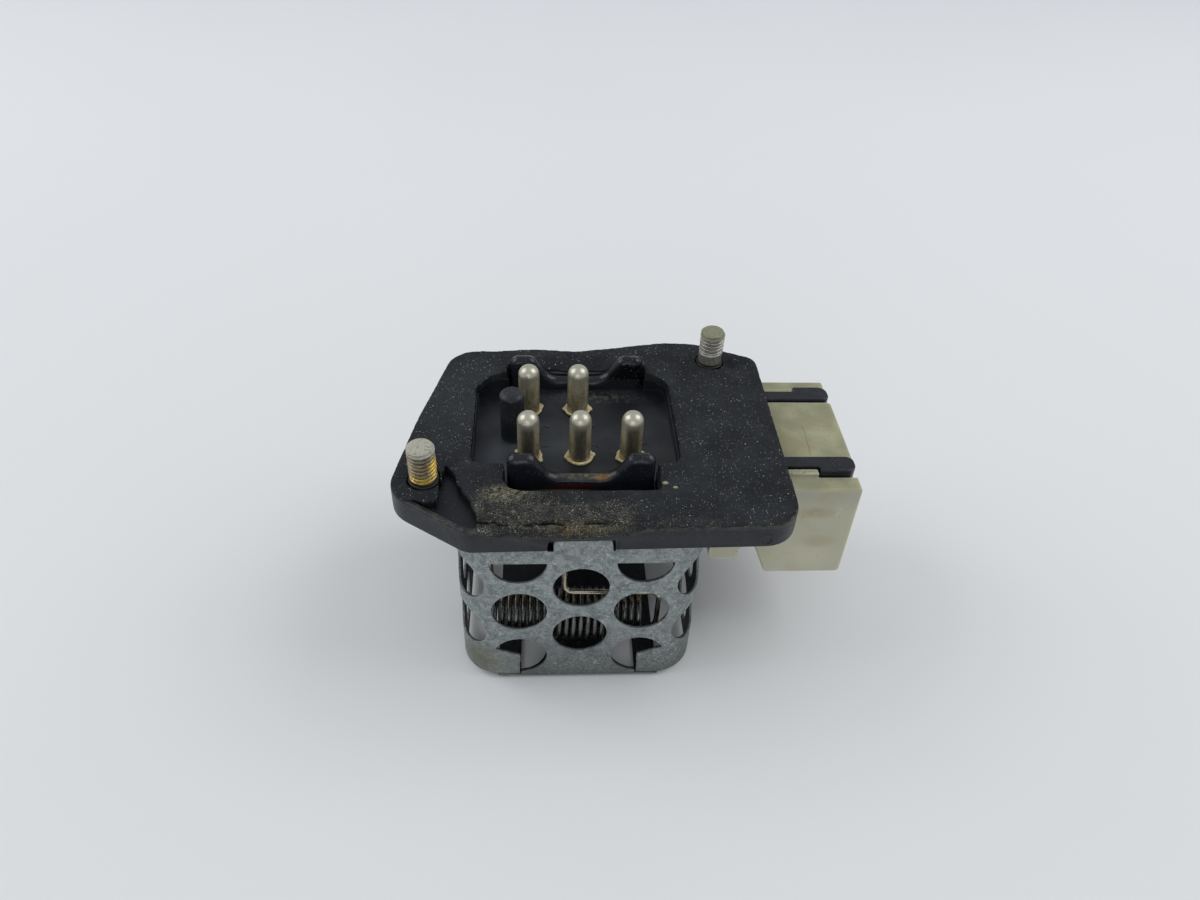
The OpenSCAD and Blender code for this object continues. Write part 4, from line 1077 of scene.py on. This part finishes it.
@dataclass
class PinSet:
    """The five contact pins and the thin collars round their feet."""

    collar_turns: tuple = (150, 8, 15, 20, 0)
    pin_r: float = 2.0

    def build(self, pin_finish: bpy.types.Material, collar_finish: bpy.types.Material) -> None:
        """Make every pin and collar."""
        for number, (centre, turn) in enumerate(zip(PINS, self.collar_turns), 1):
            self.build_pin(number, centre, pin_finish)
            self.build_collar(number, centre, turn, collar_finish)

    def build_pin(self, number: int, centre: tuple, finish: bpy.types.Material) -> None:
        """Turn one pin: the dome is a quarter circle that flattens slightly at its tip."""
        a = np.linspace(0, np.pi / 2, 14)
        dome = np.stack([np.cos(a) ** 0.94, np.sin(a) - 1], -1) * self.pin_r + (0, PIN_TOP_Z)
        dome[-1, 0] = 0
        low = [[0, -14.6], [0.9, -14.6], [1.1, -14.4], [1.1, -9.6], [1.8, -9.6], [1.8, -3.95],
               [self.pin_r - 0.1, -3.95], [self.pin_r, -3.85], [self.pin_r, 0]]
        profile = np.array([*low, *dome])
        points = turned(centre, profile[:, :1], circle(64), profile[:, 1:])
        pin = mesh_piece(f"pin_{number}", points, grid_faces(len(profile), 64), finish)
        hide_node(pin, "tinned_pin", f"contact_pin_{number}")

    def build_collar(self, number: int, centre: tuple, turn: float,
                     finish: bpy.types.Material) -> None:
        """Make one collar.

        Formula: a closed rounded section is carried round the pin. Its outer radius swells by
        two narrow bell curves, one at each ear, and by a little noise.
        """
        s, t = circle(96)[:, None], circle(12)
        ear = bell(np.sin(s - math.radians(turn)), 0, 0.2)
        ragged = value_noise(s * 5, 0 * s + number * 7.0, 1.0, number)
        outer, inner = 2.53 + 0.4 * ear + 0.07 * ragged, 1.88
        across, along = (np.sign(wave) * np.abs(wave) ** 0.6 for wave in (np.cos(t), np.sin(t)))
        r = (outer + inner) / 2 + (outer - inner) / 2 * across
        z = SOCKET_Z + 0.26 + (0.22 + 0.03 * ragged) * along
        points = turned(centre, r, s, z)
        collar = mesh_piece(f"collar_{number}", np.concatenate([points, points[:1]]),
                            grid_faces(97, 12), finish, weld=1e-6)
        hide_node(collar, "collar_brass", f"pin_collar_{number}")


@dataclass
class WoundWire:
    """A resistance wire wound round an axis along X, with a lead at each end."""

    name: str
    node: str
    wire_d: float
    pitch: float
    turns: float
    x0: float
    axis_y: float
    start: tuple
    finish_route: tuple
    ease: tuple

    def eased(self, route: np.ndarray, cut: float) -> np.ndarray:
        """Round each bend of a route with a quadratic curve that starts and ends cut away."""
        parts = [route[:1]]
        t = np.linspace(0, 1, 7)[:, None]
        for before, here, after in zip(route[:-2], route[1:-1], route[2:]):
            a, b = before - here, after - here
            la, lb = np.linalg.norm(a), np.linalg.norm(b)
            u, v = here + a / la * min(cut, la * 0.45), here + b / lb * min(cut, lb * 0.45)
            parts.append(u * (1 - t) ** 2 + 2 * here * t * (1 - t) + v * t * t)
        return np.concatenate([*parts, route[-1:]])

    def path(self) -> np.ndarray:
        """The wire's middle line: start lead, helix and end lead.

        Formula of the helix: x = x0 + pitch t, y = y0 + r cos(-2 pi t), z = z0 + r sin(-2 pi t).
        """
        r = (COIL_D - self.wire_d) / 2
        t = np.linspace(0, self.turns, int(self.turns * 32) + 1)
        a = -2 * np.pi * t
        helix = np.stack([self.x0 + self.pitch * t, self.axis_y + r * np.cos(a),
                          COIL_Z + r * np.sin(a)], -1)
        whole = np.concatenate([self.eased(np.array(self.start, float), self.ease[0]), helix,
                                self.eased(np.array(self.finish_route, float), self.ease[1])])
        step = np.linalg.norm(np.diff(whole, axis=0), axis=1)
        whole = whole[np.concatenate([[True], step > 1e-6])]
        along = np.concatenate([[0], np.cumsum(np.linalg.norm(np.diff(whole, axis=0), axis=1))])
        even = np.linspace(0, along[-1], int(along[-1] / 0.42))
        line = np.stack([np.interp(even, along, whole[:, k]) for k in range(3)], -1)
        line[1:-1] = 0.25 * line[:-2] + 0.5 * line[1:-1] + 0.25 * line[2:]
        return line

    def build(self, finish: bpy.types.Material) -> None:
        """Skin the middle line with a round section.

        Formula: the section's first axis is carried along the line by the smallest turns from
        each tangent to the next, so it never twists; the ring is line + r (cos a u + sin a v).
        """
        line = self.path()
        tangent = np.gradient(line, axis=0)
        tangent /= np.linalg.norm(tangent, axis=1, keepdims=True)
        along = [Vector(t) for t in tangent]
        steps = [p.rotation_difference(q) for p, q in zip(along[:-1], along[1:])]
        carried = itertools.accumulate(steps, lambda total, step: step @ total,
                                       initial=Quaternion())
        first = along[0].orthogonal().normalized()
        u = np.array([turn @ first for turn in carried])
        v = np.cross(tangent, u)
        a = circle(12)[:, None]
        ring = np.cos(a) * u[:, None] + np.sin(a) * v[:, None]
        n = len(line)
        caps = [list(range(12)), list(range((n - 1) * 12, n * 12))]
        piece = mesh_piece(self.name, line[:, None] + self.wire_d / 2 * ring,
                           grid_faces(n, 12) + caps, finish, 60)
        hide_node(piece, "resistance_wire", self.node)


@dataclass
class WireSet:
    """The three wound wires inside the cage."""

    top: float = -10.0
    low: float = -15.0

    def lead(self, pin: int, wire_d: float, side: int) -> tuple:
        """The upper two points of a lead that ends against one side of a pin's tail."""
        x, y = PINS[pin][0] + side * (1.2 + wire_d / 2), PINS[pin][1]
        return (x, y, self.top), (x, y, self.low)

    def build(self, front: bpy.types.Material, dark: bpy.types.Material) -> None:
        """Make the front, middle and rear wires along the CAD routes."""
        self.build_front(front)
        for name, wire_d, pitch, turns, x0, y, first, last, drop in (
                ("middle", 1.2, 1.9, 12.5, -11.8, 0.0, (3, -1), (2, 1), (2.5, 2.5)),
                ("rear", 1.4, 2.7, 7.5, -9.0, 11.6, (3, 1), (4, 1), (4, 5))):
            a, b = self.lead(first[0], wire_d, first[1]), self.lead(last[0], wire_d, last[1])
            r, x1, z = (COIL_D - wire_d) / 2, x0 + pitch * turns, COIL_Z + 2
            WoundWire(f"wire_{name}", f"coil_{name}", wire_d, pitch, turns, x0, y,
                      (*a, (x0, y + r, self.low - drop[0]), (x0, y + r, z)),
                      ((x1, y - r, z), (x1, y - r, self.low - drop[1]), *b[::-1]),
                      (1.6, 1.6)).build(dark)

    def build_front(self, finish: bpy.types.Material) -> None:
        """Make the front wire. Its end lead runs back over the coil, and then up."""
        y, r, pitch, turns, x0 = -21.5, 4.6, 1.34, 21.25, -16.54
        x1, over = x0 + pitch * turns, COIL_Z + 6.1
        a, b = self.lead(0, 1, -1), self.lead(1, 1, -1)
        WoundWire("wire_front", "coil_front", 1.0, pitch, turns, x0, y,
                  (*a, (x0, y + r, self.low - 3), (x0, y + r, COIL_Z + 2)),
                  ((x1 + 0.8, y - 0.9, COIL_Z - r), (x1 + 3.1, y - 0.5, COIL_Z - r + 1.4),
                   (x1 + 3.1, y - 0.3, over), (-2.8, y - 0.5, over + 0.6),
                   (-2.8, y, self.low - 1.4), *b[::-1]), (1.4, 1.9)).build(finish)


# ---------------------------------------------------------------- the side connector

@dataclass
class SideConnector:
    """The nylon housing and its two blade terminals."""

    edge_r: float = 0.5

    def edge_width(self, at: np.ndarray) -> np.ndarray:
        """Full rounding on the outer shell, little inside the mouth and round the arms."""
        x, y, z = at.T
        deep = np.abs(y)
        width = np.full(len(at), 0.15)
        width[(np.abs(deep - HOUSING_Y) < 0.1) | (x > 50.7) | (z < -26.0)] = self.edge_r
        width[(deep < 14.2) & (z < -8)] = 0.12
        width[(np.abs(deep - 10.7) < 2.6) & (z > -8)] = 0.1
        return width

    def build(self, nylon: bpy.types.Material, brass: bpy.types.Material) -> None:
        """Make the housing and dress the CAD blades."""
        shell = softened("connector_housing", "nylon_housing", nylon, 0.21, self.edge_width,
                         within_box)
        hide_node(shell, "natural_nylon", "connector_housing")
        for number in (1, 2):
            blade = frame["nodes"][f"connector_blade_{number}"]
            blade.data.materials.clear()
            blade.data.materials.append(brass)


# ---------------------------------------------------------------- the studio

@dataclass
class Studio:
    """Pale table, soft lamps and the camera that stands where the photographer stood."""

    place: tuple = (-6.769, -132.977, 105.587)
    pitch: float = 0.709
    yaw: float = 0.083
    roll: float = 0.053
    lens: float = 27.3
    table: tuple = (0.70, 0.715, 0.735)

    def build(self) -> None:
        """Make the table, the lamps, the surroundings and the camera."""
        self.build_table()
        self.build_lamp("lamp_right", (560, 60, 580), 560, 2.25)
        self.build_lamp("lamp_left", (-600, 110, 480), 560, 2.05)
        self.build_lamp("lamp_front", (-80, -640, 230), 380, 0.55)
        self.build_world()
        self.build_camera()

    def build_table(self) -> None:
        """A large pale sheet under the part."""
        g = Graph("pale_table")
        # Painted light: the table is paler and bluer towards the back.
        cloud = g.blend(g.ease(g.axis("Y"), -150, 600), (0.735, 0.745, 0.745), (0.86, 0.87, 0.895))
        cloud = g.blend(g.product(g.noise(0.006, 2), 0.3), cloud, self.table)
        finish = g.finish(Base_Color=cloud, Roughness=0.75, Specular_IOR_Level=0.2)
        s = np.linspace(-2600, 2600, 9)
        x, y = np.meshgrid(s, s, indexing="ij")
        points = np.stack([x, y, np.full_like(x, FLOOR_Z - 0.02)], -1)
        table = mesh_piece("table", points, grid_faces(9, 9, False), finish)
        if table.data.polygons[0].normal.z < 0:
            table.data.flip_normals()

    def build_lamp(self, name: str, place: tuple, size: float, watts: float) -> None:
        """A square soft lamp aimed at the part."""
        lamp = bpy.data.lights.new(name, "AREA")
        lamp.shape, lamp.size, lamp.energy = "SQUARE", size * MM, watts
        holder = linked(name, lamp)
        holder.location = Vector(place) * MM
        aim = Vector((4, 0, -15)) - Vector(place)
        holder.rotation_euler = aim.to_track_quat("-Z", "Y").to_euler()

    def build_world(self) -> None:
        """Even light from all round, and a pale backdrop for what the camera and gloss see."""
        world = bpy.data.worlds.new("surroundings")
        bpy.context.scene.world = world
        world.use_nodes = True
        tree = world.node_tree
        light = tree.nodes["Background"]
        seen, path, either, choose = (
            tree.nodes.new("ShaderNode" + kind)
            for kind in ("Background", "LightPath", "Math", "MixShader"))
        light.inputs["Color"].default_value = (0.93, 0.96, 1.0, 1)
        light.inputs["Strength"].default_value = 0.55
        seen.inputs["Color"].default_value = (0.70, 0.72, 0.74, 1)
        either.operation = "MAXIMUM"
        for output, socket in (
                (path.outputs["Is Camera Ray"], either.inputs[0]),
                (path.outputs["Is Transmission Ray"], either.inputs[1]),
                (either.outputs[0], choose.inputs[0]),
                (light.outputs[0], choose.inputs[1]),
                (seen.outputs[0], choose.inputs[2]),
                (choose.outputs[0], tree.nodes["World Output"].inputs["Surface"])):
            tree.links.new(output, socket)

    def build_camera(self) -> None:
        """Aim the camera: pitch down, then yaw toward +X, then roll about the view."""
        level = math.cos(self.pitch)
        ahead = Vector((math.sin(self.yaw) * level, math.cos(self.yaw) * level,
                        -math.sin(self.pitch)))
        right = Vector((math.cos(self.yaw), -math.sin(self.yaw), 0))
        up = right.cross(ahead)
        c, s = math.cos(self.roll), math.sin(self.roll)
        right, up = c * right + s * up, c * up - s * right
        lens = bpy.data.cameras.new("camera")
        lens.lens, lens.sensor_width, lens.sensor_fit = self.lens, 36.0, "HORIZONTAL"
        lens.clip_start, lens.clip_end = 0.005, 20.0
        camera = linked("camera", lens)
        turn = Matrix((right, up, -ahead)).transposed().to_4x4()
        camera.matrix_world = Matrix.Translation(Vector(self.place) * MM) @ turn
        bpy.context.scene.camera = camera


def report_pieces() -> None:
    for piece in bpy.context.scene.objects:
        if piece.type == "MESH":
            log.info("%s: %d faces", piece.name, len(piece.data.polygons))


def main() -> None:
    """Build the studio and every piece, in order."""
    logging.basicConfig(level=logging.INFO, format="%(name)s: %(message)s")
    bpy.context.scene.view_settings.view_transform = "Standard"
    Studio().build()
    PlateMoulding().build(MouldedPlastic().material())
    FoamGasket().build(DustyFoam().material())
    SheetCage().build(ZincSheet().material())
    for side, plating, tint_share, at, thread_from in (
            ("left", StudPlating.YELLOW, 0.8, STUDS[0], 0.1),
            ("right", StudPlating.GREY, 0.3, STUDS[1], 2.2)):
        stud = ThreadedStud(f"threaded_stud_{side}", f"stud_{side}",
                            f"{plating.name.lower()}_zinc", at, thread_from)
        stud.build(PlatedThread(plating, tint_share, at).material())
    PinSet().build(TarnishedPin().material(), PaleCollar().material())
    WireSet().build(HeatedWire("front_wire", (0.075, 0.076, 0.072), (0.62, 0.56, 0.44)).material(),
                    HeatedWire("inner_wire", lead_z=-20.0).material())
    SideConnector().build(StainedNylon().material(), BladeBrass().material())
    report_pieces()


if __name__ == "__main__":
    main()
